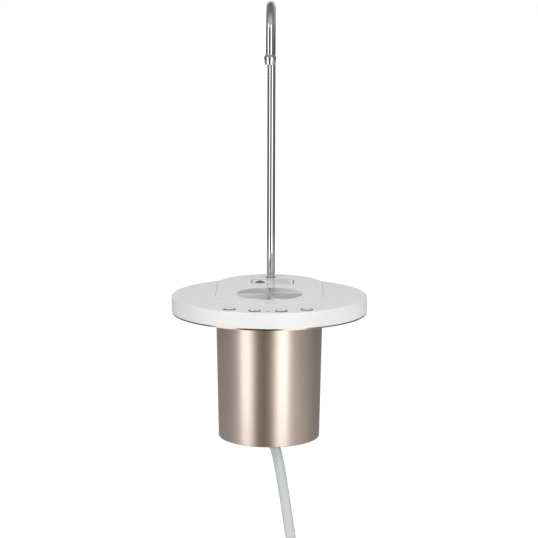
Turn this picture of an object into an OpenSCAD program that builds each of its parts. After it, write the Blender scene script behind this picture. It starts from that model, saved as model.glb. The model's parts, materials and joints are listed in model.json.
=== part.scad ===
// Electric water pump: a round tray on a tapered column, with a gooseneck spout.
// Millimetres, +Z up, front towards -Y, origin at the centre of the socket's mouth.

/* [Socket] */
// Clear bore of the soft sleeve
socket_d = 56; // [52:0.5:58]
// Depth from the mouth to the gasket's lower face
socket_depth = 42; // [38:1:46]
// Wall of the soft sleeve
sleeve_t = 2; // [1.5:0.1:2.5]
// How far each gripping bead stands into the bore
bead_h = 0.5; // [0.3:0.1:0.8]
// Wall of the collar round the sleeve
collar_t = 2.4; // [2:0.1:2.8]
// Thickness of the collar's top plate
collar_plate_t = 3; // [2.5:0.1:4]
// Thickness of the gasket
gasket_t = 3; // [2:0.5:4]
// Clear hole in the gasket
gasket_hole_d = 40; // [34:1:44]

/* [Column] */
// Height of the tapered column
housing_h = 119.6; // [114:0.2:130]
// Diameter of the column at the top
housing_top_d = 100.4; // [97:0.2:106]
// Diameter of the column at the bottom
housing_bottom_d = 95.8; // [94:0.2:102]
// Wall of the column
housing_t = 2.2; // [1.8:0.1:2.6]
// Radius of the column's lower edge
housing_edge_r = 0.8; // [0.4:0.1:1]
// Width of the ledge that carries the chassis
ledge_w = 6; // [5.6:0.1:6.4]
// Height of that ledge
ledge_h = 6; // [5:0.5:8]
// Thickness of the chassis plate
chassis_t = 3; // [2.5:0.1:4]

/* [Tray] */
// Diameter of the tray
tray_d = 184; // [178:1:200]
// Height of the tray's rim
tray_h = 14.4; // [13.6:0.2:18]
// Wall of the tray and of the lid
tray_t = 2.2; // [1.8:0.1:2.4]
// Radius of the tray's upper edge
tray_edge_r = 1; // [0.4:0.1:1.4]
// Thickness of the plate under the tray
base_t = 1.5; // [1.2:0.1:2.5]
// How far that plate stays in from the rim
base_inset = 0.4; // [0.3:0.1:2]
// Width of the lid
lid_w = 102; // [98:0.5:106]
// How far behind the tray's centre the lid's rear arc is centred
lobe_y = 65.5; // [62:0.5:72]
// Seam between the lid and the tray
seam_w = 0.15; // [0.1:0.05:0.6]
// Diameter of the steel disc
disc_d = 62; // [50:1:80]
// Thickness of the steel disc
disc_t = 1.2; // [1:0.1:1.4]
// How far the disc stands proud of the lid
disc_proud = 0.2; // [0.1:0.1:0.4]
// How far behind the tray's centre the disc is centred
disc_y = 6; // [-4:0.5:12]

/* [Buttons] */
// Diameter of a button
button_d = 11; // [10:0.5:14]
// Gap round a button
button_gap = 0.5; // [0.3:0.05:0.6]
// How far a button stands proud
button_proud = 0.5; // [0.2:0.1:0.9]
// How far a button travels
button_travel = 0.8; // [0.5:0.1:1]
// Distance from the tray's rim to the row of buttons
button_inset = 11; // [10:0.5:14]
// Angle between neighbouring buttons
button_pitch = 17; // [13:0.5:18]
// Diameter of the indicator light
lens_d = 2.4; // [2:0.1:4]
// Distance from the tray's rim to the indicator light
lens_inset = 8; // [7:0.5:10]
// Thickness of the control board
board_t = 1.6; // [1.2:0.1:2]

/* [Spout] */
// Outside diameter of the spout tube
spout_d = 8; // [7:0.2:9]
// Wall of the spout tube
spout_t = 0.8; // [0.6:0.1:1.2]
// How far behind the tray's centre the tube rises
spout_y = 97; // [94:0.5:99]
// Distance between the tube's two legs
spout_reach = 94; // [80:1:100]
// Height of the straight leg above the tray
spout_rise = 242; // [180:1:280]
// Radius of the tube's two bends
bend_r = 27; // [18:1:36]
// Length of the front leg below the bend
drop_l = 24; // [18:1:60]
// Diameter of the nozzle's upper edge
nozzle_d = 11.4; // [10.6:0.1:14]
// Diameter of the nozzle's tip
nozzle_tip_d = 9.7; // [9.2:0.1:10.4]
// Height of the nozzle
nozzle_h = 9; // [8:0.5:16]
// Diameter of the dark ring round the foot of the tube
grommet_d = 9.8; // [9.4:0.1:14]

/* [Pump] */
// Teeth on each gear
gear_teeth = 10; // [10:1:12]
// Module of the gears
gear_module = 1.2; // [1.1:0.05:1.3]
// Width of the gears
gear_w = 10; // [8:0.5:12]
// Diameter of the motor's shaft and of the idler's pin
shaft_d = 3; // [2.6:0.1:3.4]
// Thickness of the pump's base plate
pump_base_t = 4; // [3:0.5:5]
// How far behind the tray's centre the inlet is
inlet_y = -8; // [-10:0.5:-6]
// Bore of the inlet
inlet_bore_d = 5; // [4:0.2:5.6]
// Bore of the outlet
outlet_bore_d = 4; // [3:0.2:4.4]

/* [Motor and battery] */
// Diameter of the motor can
motor_d = 24.4; // [23.6:0.1:25.2]
// Length of the motor can
motor_l = 27; // [25:0.5:30]
// Wall of the motor can
motor_t = 1; // [0.8:0.1:1.2]
// Diameter of the battery cell
cell_d = 18.4; // [17.4:0.1:19]
// Length of the battery cell
cell_l = 65; // [50:0.5:67]

/* [Hoses] */
// Outside diameter of the intake hose
hose_d = 10; // [9:0.2:12]
// Bore of the intake hose
hose_bore_d = 7; // [6.6:0.1:7.6]
// Length of hose that is pushed on the spigot
hose_grip_l = 19; // [14:1:19]
// Outside diameter of the outlet hose
outlet_d = 7.6; // [7.2:0.1:8]
// Bore of the outlet hose
outlet_hose_bore_d = 6; // [5.8:0.1:6.4]

/* [Fasteners] */
// Diameter of the screws
screw_d = 2.6; // [2:0.1:2.8]
// Diameter of their heads
head_d = 4.8; // [4:0.1:5.2]
// Height of their heads
head_h = 1.6; // [1:0.1:2]
// Diameter of the bosses that they bite into
boss_d = 6; // [5.4:0.1:6.6]

/* [Clearances] */
// Radial clearance of running shafts
run_fit = 0.05; // [0.02:0.01:0.1]
// Clearance between pieces that lie in one another
loose_fit = 0.3; // [0.2:0.05:0.5]
// Clearance of pressed and seated pieces
seat_fit = 0.1; // [0.05:0.01:0.2]

/* [Hidden] */
$fn = 96;

// Finishes, as the object shows them
white = [0.93, 0.93, 0.92];
champagne = [0.72, 0.64, 0.55];
steel = [0.78, 0.79, 0.8];
dark_rubber = [0.2, 0.2, 0.21];
clear_rubber = [0.85, 0.88, 0.9];
grey_plastic = [0.55, 0.56, 0.58];
black_plastic = [0.12, 0.12, 0.13];
board_green = [0.1, 0.35, 0.2];
copper = [0.75, 0.42, 0.22];
brass = [0.78, 0.65, 0.35];
magnet_grey = [0.3, 0.3, 0.32];
cell_blue = [0.25, 0.4, 0.62];
lead_red = [0.7, 0.12, 0.1];

// Reach of a cut past the faces that it opens
past = 1;

// Levels from the socket's mouth up to the chassis
mouth_z = 1;
lip_t = 2;
collar_plate_z = socket_depth + gasket_t;
chassis_z = collar_plate_z + collar_plate_t;
floor_z = chassis_z + chassis_t;

// Levels of the tray
base_z = housing_h;
tray_z = base_z + base_t;
top_z = tray_z + tray_h;
ceiling_z = top_z - tray_t;

// The column's outer and inner radius at a height
function housing_r(z) = (housing_bottom_d + (housing_top_d - housing_bottom_d) * z / housing_h) / 2;
function housing_in(z) = housing_r(z) - housing_t;
ledge_r = housing_in(chassis_z) - ledge_w;
ledge_screw_r = housing_in(chassis_z) - ledge_w / 2;
chassis_r = housing_in(chassis_z) - loose_fit;
screw_hole_d = screw_d + 2 * seat_fit;
chassis_screw_angles = [60, 120, 240, 300];
chassis_screw_l = chassis_t + ledge_h - 2;

// The collar, and the screws that pull it up against the chassis
collar_in_r = socket_d / 2 + sleeve_t + seat_fit;
collar_out_r = collar_in_r + collar_t;
collar_plate_r = ledge_r - loose_fit;
collar_screw_r = collar_plate_r - boss_d / 2 - seat_fit;
collar_screw_angles = [45, 135, 225, 315];
collar_boss_h = 6;
collar_screw_l = chassis_t + collar_plate_t + collar_boss_h - 2;
bead_r = 1;
bead_zs = [9, 19, 29];

// Screws that hold the tray's base on the column
housing_boss_h = 12;
housing_boss_bite = 1.2;
housing_boss_r = housing_top_d / 2 - housing_t - boss_d / 2 + housing_boss_bite;
housing_screw_angles = [45, 135, 225, 315];
housing_screw_l = 9;
column_hole_r = housing_boss_r - boss_d / 2 - 2;

// Spigot on the inlet
spigot_flange_d = 17;
spigot_flange_h = 2;
spigot_shank_d = 10;
spigot_cup_d = 14;
barb_d = hose_bore_d - 2 * seat_fit;
barb_neck_d = barb_d - 0.8;
barb_l = hose_grip_l + 1;
barb_count = 3;
spigot_z = socket_depth - 1;
oring_r = 0.75;
oring_ring_r = spigot_cup_d / 2 - 2;

// Pump: levels, gear centres and the plate that its pieces share
pad_h = 2;
post_h = 4;
post_d = 8;
pump_z = floor_z + post_h + pad_h;
gear_z = pump_z + pump_base_t;
pitch_r = gear_module * gear_teeth / 2;
gear_pressure = 25;
gear_backlash = 0.15;
tip_r = pitch_r + 0.92 * gear_module;
root_r = 2 * pitch_r - tip_r - loose_fit;
base_r = pitch_r * cos(gear_pressure);
port_r = 3;
port_off = 6.5;
gear_y = inlet_y + port_off;
drive_x = -pitch_r;
idler_x = pitch_r;
gear_run = 0.15;
chamber_r = tip_r + loose_fit;
pump_wall = 3.3;
pump_r = chamber_r + pump_wall;
chamber_h = gear_w + 2 * gear_run;
pump_top_t = 4;
pump_top_z = gear_z + chamber_h + pump_top_t;
pump_ear_x = 2;
pump_ear_y = 4.5;
pump_plate_x = 2 * (pitch_r + pump_r + pump_ear_x);
pump_plate_y = 2 * (pump_r + pump_ear_y);
pump_flange_t = 3;
pump_corner_r = 4;
pump_screw_x = pump_plate_x / 2 - pump_corner_r;
pump_screw_y = pump_plate_y / 2 - pump_corner_r;
pump_screw_l = pump_flange_t + pump_base_t + pad_h + post_h + 1;
bearing_depth = 2.6;
motor_cup_h = 7;
motor_cup_t = 2;
seal_d = 8;
seal_h = 2.6;
outlet_z = gear_z + chamber_h / 2;
outlet_port_y = gear_y + port_off;
outlet_nipple_d = outlet_hose_bore_d - 2 * seat_fit;
outlet_nipple_l = 6;
outlet_y0 = gear_y + pump_plate_y / 2 + loose_fit;
outlet_nipple_y = outlet_y0 + outlet_nipple_l;

// Motor: the can stands in the pump body's cup
motor_z = pump_top_z;
motor_in_r = motor_d / 2 - motor_t;
bush_d = 6;
bush_h = 3;
cap_h = 4;
motor_cap_z = motor_z + motor_l;
magnet_t = 2.2;
magnet_h = 19;
magnet_z = motor_z + motor_t + 3;
magnet_span = 65;
armature_r = motor_in_r - seat_fit - magnet_t - 0.5;
armature_h = 15;
armature_z = magnet_z + 2;
pole_t = 1.6;
pole_gap = 24;
arm_w = 3.6;
hub_r = 3.4;
coil_h = armature_h + 3;
coil_w = 2.2;
commutator_r = 2.9;
commutator_h = 4;
commutator_z = motor_cap_z - commutator_h - 0.5;
brush_w = 2.4;
brush_gap = 0.1;
terminal_h = 3;
terminal_x = 6;
shaft_z = pump_z + pump_base_t - bearing_depth + loose_fit;
shaft_top_z = motor_cap_z + bush_h - loose_fit;

// Battery, in a cradle beside the pump
cradle_t = 1.2;
cradle_floor = 2;
cradle_h = 46;
tab_t = 0.3;
tab_r = 4;
nub_r = 3;
nub_h = 1;
cell_fit = 0.15;
battery_x = pump_plate_x / 2 + 0.8 + cradle_t + cell_fit + cell_d / 2;
cell_z = floor_z + cradle_floor + tab_t;
cell_top_z = cell_z + cell_l;

// Power board, upright in two slotted rails on the chassis
power_x = -33;
power_w = 36;
power_h = 46;
rail_w = 5;
rail_l = 4;
rail_h = 10;
power_z = floor_z + 1;
plug_w = 8;
plug_h = 6;
plug_t = 5;
plug_z = power_z + power_h - plug_h - 2;
chip_w = 8;
chip_h = 9;
chip_t = 2;
chip_z = power_z + 18;
capacitor_d = 6;
capacitor_l = 6.5;
capacitor_y = 9;
capacitor_z = power_z + 20;
board_bite = 0.5;

// Tray: bosses, screws and the room round the lid
lid_r = lid_w / 2;
notch_r = lid_r + seam_w;
lid_skirt_t = 1.8;
tray_screw_angles = [58, 96, 130];
tray_screw_r = tray_d / 2 - tray_t - boss_d / 2 - 4;
tray_screw_l = base_t + tray_h - tray_t - 2;
lid_screw_spots = [[38, 4], [27, 34]];
lid_screw_l = tray_screw_l;
hose_notch_r = outlet_d / 2 + 3;
disc_recess = disc_t - disc_proud;

// Buttons, their pad and the control board below them
button_r = tray_d / 2 - button_inset;
button_angles = [-1.5, -0.5, 0.5, 1.5] * button_pitch;
button_hole_d = button_d + 2 * button_gap;
flange_lip = 0.8;
flange_d = button_hole_d + 2 * flange_lip;
flange_t = 1.1;
flange_z = ceiling_z - loose_fit - flange_t;
stem_d = 7;
stem_h = 0.9;
stem_z = flange_z - stem_h;
dome_d = 9;
dome_room = 1.4;
dome_h = button_travel + dome_room;
pad_t = 1;
pad_z = stem_z - dome_h - pad_t;
board_z = pad_z - board_t;
board_reach = 19;
board_edge = 0.8;
board_in_r = button_r - board_reach;
board_out_r = tray_d / 2 - tray_t - board_edge;
board_plug_w = 12;
board_plug_l = 6;
board_plug_h = 2;
board_half_angle = 1.5 * button_pitch + 8;
board_screw_r = board_in_r + boss_d / 2 + board_edge;
board_screw_angles = [-1.2, -0.4, 0.4, 1.2] * button_pitch;
board_screw_l = board_t + 4;
pad_in_r = button_r - flange_d / 2 - board_edge;
lens_r = tray_d / 2 - lens_inset;
lens_flange_d = lens_d + 2 * flange_lip;
led_h = 1.6;
crown_edge_r = 0.3;

// Spout socket in the lobe, and the tube that turns in it
spout_seat_h = 2.5;
spout_seat_z = tray_z + spout_seat_h;
spout_bore_d = spout_d + 2 * run_fit;
spout_block_w = 16;
spout_block_back = 8.5;
spout_block_l = 27;
spout_block_top = ceiling_z - loose_fit;
spout_nipple_z = tray_z + 2 * spout_seat_h;
spout_nipple_l = 8;
spout_nipple_y = spout_y + spout_block_back - spout_block_l - spout_nipple_l;
duct_w = 4;
duct_h = 1.8;
duct_z = tray_z + 0.9;
duct_l = 17;
spout_screw_x = 5.2;
spout_screw_y = spout_y + spout_block_back - spout_block_l + 4;
spout_screw_l = base_t + 6;
seal_ring_r = 0.8;
seal_ring_mid = spout_bore_d / 2 + seal_ring_r;
seal_ring_zs = [spout_seat_z + 2, spout_seat_z + 5];
tube_z = spout_seat_z + seat_fit;
spring_z = top_z + spout_rise;
nozzle_seat = 2.5;
nozzle_z = spring_z - drop_l - nozzle_seat;
nozzle_bevel_w = 1.4;
nozzle_bevel_h = 1.9;
outlet_tip_d = spout_d - 2 * spout_t;

// Outlet hose: along the pump's nipple, up the column and back to the spout
outlet_bend_r = 13;
nipple_spare = 1;
outlet_run_1 = outlet_nipple_l + nipple_spare;
outlet_up_y = outlet_y0 + outlet_run_1 + outlet_bend_r;
outlet_lift = spout_nipple_z - outlet_z - 2 * outlet_bend_r;
outlet_end_y = spout_y + spout_block_back - spout_block_l - seat_fit;
outlet_run_2 = outlet_end_y - outlet_up_y - outlet_bend_r;
outlet_steps = [
    [outlet_run_1, 0], [outlet_bend_r, 90], [outlet_lift, 0], [outlet_bend_r, -90], [outlet_run_2, 0]
];

// Charging socket in the back of the lobe
port_w = 8.94;
port_h = 3.26;
port_wall = 0.3;
port_l = 7.3;
port_tongue_w = 6.7;
port_tongue_t = 0.7;
port_y = lobe_y + lid_r - lid_skirt_t - seat_fit - 0.2;
charge_t = 1.2;
charge_w = 12;
charge_l = 8;
charge_pad_h = 1.5;
charge_z = tray_z + charge_pad_h;
charge_y = port_y - charge_l - 0.8;
port_z = charge_z + charge_t;
port_mid_z = port_z + port_h / 2;
port_cut = 0.6;

// The intake hose's middle line, from the spigot down
hose_route = [
    [0, -8, 41], [0, -8, 31], [0, -8, 21], [1, -8, 9], [4, -8, -4], [8, -8, -18], [11, -8, -33],
    [14, -8, -51], [17, -8, -71], [20, -8, -91], [23, -8, -111], [26, -7, -133], [29, -6, -156],
    [32, -5, -179], [35, -3, -202], [38, -1, -225], [41, 1, -248], [44, 3, -271], [47, 6, -294],
    [49, 9, -317], [51, 12, -340], [52, 15, -362]
];
hose_sides = 12;

// The middle lines of the leads, two in each pair
lead_d = 1.6;
lead_sides = 8;
lead_gap = 4;
lead_bend = 3;

function unit(v) = v / norm(v);
function polar(r, a) = r * [cos(a), sin(a)];

// The direction of a route at one of its points
function heading(route, i) = unit(route[min(i + 1, len(route) - 1)] - route[max(i - 1, 0)]);

// Rings of points square to a route
function rings(route, r, sides, aside) = [
    for (i = [0 : len(route) - 1])
        let (t = heading(route, i), u = unit(cross(aside, t)), v = cross(t, u))
            for (k = [0 : sides - 1])
                route[i] + r * (cos(360 * k / sides) * u + sin(360 * k / sides) * v)
];

// Triangles between neighbouring rings, from a first point on
function ring_walls(count, sides, first, inside) = [
    for (i = [0 : count - 2], k = [0 : sides - 1])
        let (
            a = first + i * sides + k,
            b = first + i * sides + (k + 1) % sides,
            c = a + sides,
            d = b + sides
        )
            each inside ? [[a, b, d], [a, d, c]] : [[a, d, b], [a, c, d]]
];

// A hollow hose along a route
module hose(route, d, bore_d, sides, aside = [0, 1, 0]) {
    count = len(route);
    inner = count * sides;
    last = (count - 1) * sides;
    flat = cos(180 / sides);
    ends = [
        for (k = [0 : sides - 1])
            let (n = (k + 1) % sides)
                each [
                    [k, n, inner + n], [k, inner + n, inner + k],
                    [last + k, inner + last + n, last + n], [last + k, inner + last + k, inner + last + n]
                ]
    ];
    polyhedron(
        concat(rings(route, d / 2, sides, aside), rings(route, bore_d / 2 / flat, sides, aside)),
        concat(ring_walls(count, sides, 0, false), ring_walls(count, sides, inner, true), ends)
    );
}

// A solid lead along a route
module lead(route, d, sides, aside) {
    count = len(route);
    last = (count - 1) * sides;
    ends = [
        [for (k = [0 : sides - 1]) k],
        [for (k = [sides - 1 : -1 : 0]) last + k]
    ];
    polyhedron(rings(route, d / 2, sides, aside), concat(ring_walls(count, sides, 0, false), ends));
}

// A hollow pipe of straight runs and bends: [length, 0] goes on, [radius, angle] turns towards +Y
module pipe(steps, d, bore_d, i = 0) {
    if (i < len(steps)) {
        size = steps[i][0];
        turn = steps[i][1];
        side = turn > 0 ? 1 : -1;
        if (turn == 0) {
            ring(d / 2, bore_d / 2, size);
            translate([0, 0, size]) pipe(steps, d, bore_d, i + 1);
        } else {
            mirror([0, (1 - side) / 2, 0]) translate([0, size, 0]) rotate([90, 0, -90])
                pipe_bend(size, abs(turn), d, bore_d);
            translate([0, side * size, 0]) rotate([-turn, 0, 0]) translate([0, -side * size, 0])
                pipe(steps, d, bore_d, i + 1);
        }
    }
}

module pipe_bend(r, angle, d, bore_d) {
    rotate_extrude(angle = angle) translate([r, 0]) difference() {
        circle(d = d);
        circle(d = bore_d);
    }
}

// Places children round the axis: angle 0 is the front
module around(r, angles) {
    for (a = angles) rotate(a) translate([0, -r, 0]) children();
}

module mirrored_x() {
    children();
    mirror([1, 0, 0]) children();
}

module at(x, y, z) {
    translate([x, y, z]) children();
}

module ring(r_out, r_in, h) {
    difference() {
        cylinder(r = r_out, h = h);
        translate([0, 0, -past]) cylinder(r = r_in, h = h + 2 * past);
    }
}

module torus(mid_r, r) {
    rotate_extrude() translate([mid_r, 0]) circle(r);
}

// A rectangle with round corners, true arcs
module round_rect(x, y, r) {
    square([x - 2 * r, y], center = true);
    square([x, y - 2 * r], center = true);
    for (sx = [-1, 1], sy = [-1, 1]) translate([sx * (x / 2 - r), sy * (y / 2 - r)]) circle(r);
}

// Two half circles joined by straight sides along X
module obround(w, h) {
    square([w - h, h], center = true);
    for (s = [-1, 1]) translate([s * (w - h) / 2, 0]) circle(d = h);
}

// The lid's outline: a front arc, straight sides and a rear arc
module stadium(r) {
    circle(r);
    translate([0, lobe_y]) circle(r);
    translate([-r, 0]) square([2 * r, lobe_y]);
}

// Half of a plate's section, with a rounded upper edge
module plate_section(r, h, edge) {
    square([r - edge, h]);
    square([r, h - edge]);
    translate([r - edge, h - edge]) circle(edge);
}

module screw(l) {
    difference() {
        union() {
            cylinder(d = head_d, h = head_h);
            translate([0, 0, -l]) cylinder(d = screw_d, h = l + head_h / 2);
        }
        for (a = [0, 90]) rotate(a) translate([0, 0, head_h])
            cube([head_d * 0.6, 0.7, head_h], center = true);
    }
}

module screw_hole(l) {
    translate([0, 0, -l]) cylinder(d = screw_hole_d, h = l + past);
}

module housing_profile() {
    z = chassis_z;
    low = chassis_z - ledge_h;
    e = housing_edge_r;
    polygon([
        [housing_in(0), 0], [housing_r(e) - e, 0], [housing_r(e), e], [housing_r(housing_h), housing_h],
        [housing_in(housing_h), housing_h], [housing_in(z), z], [ledge_r, z], [ledge_r, low],
        [housing_in(low), low]
    ]);
    translate([housing_r(e) - e, e]) circle(e);
}

module housing_shell() {
    color(champagne) difference() {
        union() {
            rotate_extrude() housing_profile();
            around(housing_boss_r, housing_screw_angles) at(0, 0, housing_h - housing_boss_h)
                cylinder(d = boss_d, h = housing_boss_h);
        }
        around(housing_boss_r, housing_screw_angles) at(0, 0, housing_h) screw_hole(housing_screw_l + 1);
        around(ledge_screw_r, chassis_screw_angles) at(0, 0, chassis_z) screw_hole(ledge_h - 1);
    }
}

module socket_collar() {
    lip_r = housing_in(mouth_z) - loose_fit;
    z = collar_plate_z;
    color(grey_plastic) difference() {
        union() {
            rotate_extrude() polygon([
                [collar_in_r, mouth_z], [lip_r, mouth_z], [lip_r, mouth_z + lip_t],
                [collar_out_r, mouth_z + lip_t], [collar_out_r, z], [collar_plate_r, z],
                [collar_plate_r, chassis_z], [0, chassis_z], [0, z], [collar_in_r, z]
            ]);
            around(collar_screw_r, collar_screw_angles) at(0, 0, z - collar_boss_h)
                cylinder(d = boss_d, h = collar_boss_h + collar_plate_t / 2);
        }
        at(0, inlet_y, z - past)
            cylinder(d = spigot_shank_d + 2 * seat_fit, h = collar_plate_t + 2 * past);
        around(collar_screw_r, collar_screw_angles) at(0, 0, chassis_z)
            screw_hole(collar_plate_t + collar_boss_h - 1);
    }
}

module socket_sleeve() {
    in_r = socket_d / 2;
    out_r = in_r + sleeve_t;
    color(dark_rubber) rotate_extrude() {
        translate([in_r, 0]) square([sleeve_t, collar_plate_z]);
        translate([in_r, 0]) square([collar_out_r - in_r, mouth_z]);
        intersection() {
            for (z = bead_zs) translate([in_r - bead_h + bead_r, z]) circle(bead_r);
            square([out_r - 0.2, collar_plate_z]);
        }
    }
}

module socket_gasket() {
    color(clear_rubber) at(0, 0, socket_depth)
        ring(socket_d / 2 - seat_fit, gasket_hole_d / 2, gasket_t);
}

module chassis() {
    color(grey_plastic) difference() {
        union() {
            at(0, 0, chassis_z) cylinder(r = chassis_r, h = chassis_t);
            pump_spots() at(0, 0, floor_z - chassis_t / 2) cylinder(d = post_d, h = post_h + chassis_t / 2);
            for (s = [-1, 1]) at(power_x, s * (power_w - rail_l) / 2, floor_z + (rail_h - 1) / 2)
                cube([rail_w, rail_l, rail_h + 1], center = true);
        }
        at(0, inlet_y, chassis_z - past)
            cylinder(d = spigot_shank_d + 2 * seat_fit, h = chassis_t + 2 * past);
        around(ledge_screw_r, chassis_screw_angles) at(0, 0, floor_z) screw_hole(chassis_t + past);
        around(collar_screw_r, collar_screw_angles) at(0, 0, floor_z) screw_hole(chassis_t + past);
        pump_spots() at(0, 0, floor_z + post_h) screw_hole(post_h + chassis_t - 1);
        at(power_x - board_t / 2 - seat_fit, -power_w / 2 - past, power_z)
            cube([board_t + 2 * seat_fit, power_w + 2 * past, rail_h + past]);
    }
}

module chassis_screws() {
    color(steel) around(ledge_screw_r, chassis_screw_angles) at(0, 0, floor_z) screw(chassis_screw_l);
}

module collar_screws() {
    color(steel) around(collar_screw_r, collar_screw_angles) at(0, 0, floor_z) screw(collar_screw_l);
}

module barb(l, d, neck_d, count) {
    step = l / count;
    cylinder(d = neck_d, h = l);
    for (i = [0 : count - 1]) at(0, 0, i * step) cylinder(d1 = neck_d, d2 = d, h = step * 0.8);
}

module inlet_spigot() {
    cup_h = pump_z - loose_fit - floor_z;
    color(white) at(0, inlet_y, 0) difference() {
        union() {
            at(0, 0, floor_z) cylinder(d = spigot_flange_d, h = spigot_flange_h);
            at(0, 0, floor_z) cylinder(d = spigot_cup_d, h = cup_h);
            at(0, 0, spigot_z) cylinder(d = spigot_shank_d, h = floor_z - spigot_z + past);
            at(0, 0, spigot_z - barb_l) barb(barb_l + past, barb_d, barb_neck_d, barb_count);
        }
        at(0, 0, spigot_z - barb_l - past)
            cylinder(d = inlet_bore_d, h = pump_z - spigot_z + barb_l + 2 * past);
        at(0, 0, pump_z - 2 * oring_r)
            ring(oring_ring_r + oring_r + seat_fit, oring_ring_r - oring_r - seat_fit, 2);
    }
}

module inlet_oring() {
    color(dark_rubber) at(0, inlet_y, pump_z - oring_r) torus(oring_ring_r, oring_r);
}

module intake_hose() {
    color(clear_rubber) hose(hose_route, hose_d, hose_bore_d, hose_sides);
}

// Corners where the pump is screwed to the chassis
module pump_spots() {
    for (sx = [-1, 1], sy = [-1, 1])
        translate([sx * pump_screw_x, gear_y + sy * pump_screw_y, 0]) children();
}

module pump_plate(h) {
    at(0, gear_y, 0) linear_extrude(h) round_rect(pump_plate_x, pump_plate_y, pump_corner_r);
}

module pump_base() {
    color(white) difference() {
        at(0, 0, pump_z) pump_plate(pump_base_t);
        pump_spots() at(0, 0, gear_z) screw_hole(pump_base_t + past);
        at(0, inlet_y, pump_z - past) cylinder(d = inlet_bore_d, h = pump_base_t + 2 * past);
        at(drive_x, gear_y, gear_z - bearing_depth)
            cylinder(d = shaft_d + 2 * run_fit, h = bearing_depth + past);
        at(idler_x, gear_y, gear_z - bearing_depth) cylinder(d = shaft_d, h = bearing_depth + past);
    }
}

module pump_body() {
    cup_r = motor_d / 2 + seat_fit;
    shaft_hole_d = shaft_d + 2 * loose_fit;
    color(white) difference() {
        union() {
            at(0, 0, gear_z) pump_plate(pump_flange_t);
            at(0, gear_y, gear_z) linear_extrude(pump_top_z - gear_z)
                obround(2 * (pitch_r + pump_r), 2 * pump_r);
            at(drive_x, gear_y, pump_top_z - pump_top_t)
                cylinder(r = cup_r + motor_cup_t, h = pump_top_t + motor_cup_h);
            at(0, outlet_port_y, outlet_z) rotate([-90, 0, 0])
                cylinder(d = outlet_nipple_d, h = outlet_nipple_y - outlet_port_y);
        }
        pump_spots() at(0, 0, gear_z + pump_flange_t) screw_hole(pump_flange_t + past);
        for (x = [drive_x, idler_x]) at(x, gear_y, gear_z - past)
            cylinder(r = chamber_r, h = chamber_h + past);
        for (y = [inlet_y, outlet_port_y]) at(0, y, gear_z - past)
            cylinder(r = port_r, h = chamber_h + past);
        at(0, outlet_port_y, outlet_z) rotate([-90, 0, 0])
            cylinder(d = outlet_bore_d, h = outlet_nipple_y - outlet_port_y + past);
        at(drive_x, gear_y, gear_z) cylinder(d = shaft_hole_d, h = pump_top_z - gear_z + past);
        at(drive_x, gear_y, pump_top_z - seal_h) cylinder(d = seal_d, h = seal_h + past);
        at(drive_x, gear_y, pump_top_z) cylinder(r = cup_r, h = motor_cup_h + past);
        at(idler_x, gear_y, gear_z) cylinder(d = shaft_d, h = chamber_h + bearing_depth);
    }
}

module pump_pads() {
    color(dark_rubber) pump_spots() at(0, 0, floor_z + post_h) ring(post_d / 2, screw_hole_d / 2, pad_h);
}

module pump_screws() {
    color(steel) pump_spots() at(0, 0, gear_z + pump_flange_t) screw(pump_screw_l);
}

// Half the angle that a tooth takes up at a radius, along its involute flank
function involute(a) = tan(a) * 180 / PI - a;
function half_tooth(r) =
    (gear_module * PI - 2 * gear_backlash) / 4 / pitch_r * 180 / PI
    + involute(gear_pressure) - involute(acos(min(1, base_r / r)));

module gear_outline() {
    steps = 4;
    rs = [root_r, each [for (k = [0 : steps]) base_r + (tip_r - base_r) * k / steps]];
    polygon([
        for (i = [0 : gear_teeth - 1])
            let (mid = 360 / gear_teeth * i)
                each concat(
                    [for (r = rs) polar(r, mid - half_tooth(max(r, base_r)))],
                    [for (k = [len(rs) - 1 : -1 : 0]) polar(rs[k], mid + half_tooth(max(rs[k], base_r)))]
                )
    ]);
}

module drive_gear() {
    color(grey_plastic) at(drive_x, gear_y, gear_z + gear_run) difference() {
        linear_extrude(gear_w) gear_outline();
        at(0, 0, -past) cylinder(d = shaft_d, h = gear_w + 2 * past);
    }
}

module idler_gear() {
    color(grey_plastic) at(idler_x, gear_y, gear_z + gear_run) difference() {
        linear_extrude(gear_w) rotate(180 + 180 / gear_teeth) gear_outline();
        at(0, 0, -past) cylinder(d = shaft_d + 2 * run_fit, h = gear_w + 2 * past);
    }
}

module idler_pin() {
    color(steel) at(idler_x, gear_y, gear_z - bearing_depth)
        cylinder(d = shaft_d, h = chamber_h + 2 * bearing_depth);
}

module shaft_seal() {
    color(dark_rubber) at(drive_x, gear_y, pump_top_z - seal_h)
        ring(seal_d / 2, shaft_d / 2 + run_fit, seal_h);
}

module motor_can() {
    color(steel) at(drive_x, gear_y, motor_z) difference() {
        cylinder(d = motor_d, h = motor_l);
        at(0, 0, motor_t) cylinder(r = motor_in_r, h = motor_l);
        at(0, 0, -past) cylinder(d = bush_d, h = motor_t + 2 * past);
    }
}

module motor_end_cap() {
    slot_w = brush_w + 2 * seat_fit;
    color(black_plastic) at(drive_x, gear_y, motor_cap_z) difference() {
        union() {
            cylinder(d = motor_d, h = cap_h);
            at(0, 0, -commutator_h)
                ring(motor_in_r - seat_fit, motor_in_r - seat_fit - 2, commutator_h + past);
            for (s = [-1, 1]) at(s * terminal_x - 1.5, -0.4, cap_h - past)
                cube([3, 0.8, terminal_h + past]);
        }
        at(0, 0, -past) cylinder(d = bush_d, h = bush_h + past);
        for (s = [-1, 1]) at(s * motor_in_r / 2 - motor_in_r / 2, -slot_w / 2, -commutator_h - past)
            cube([motor_in_r, slot_w, commutator_h + past]);
    }
}

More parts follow.
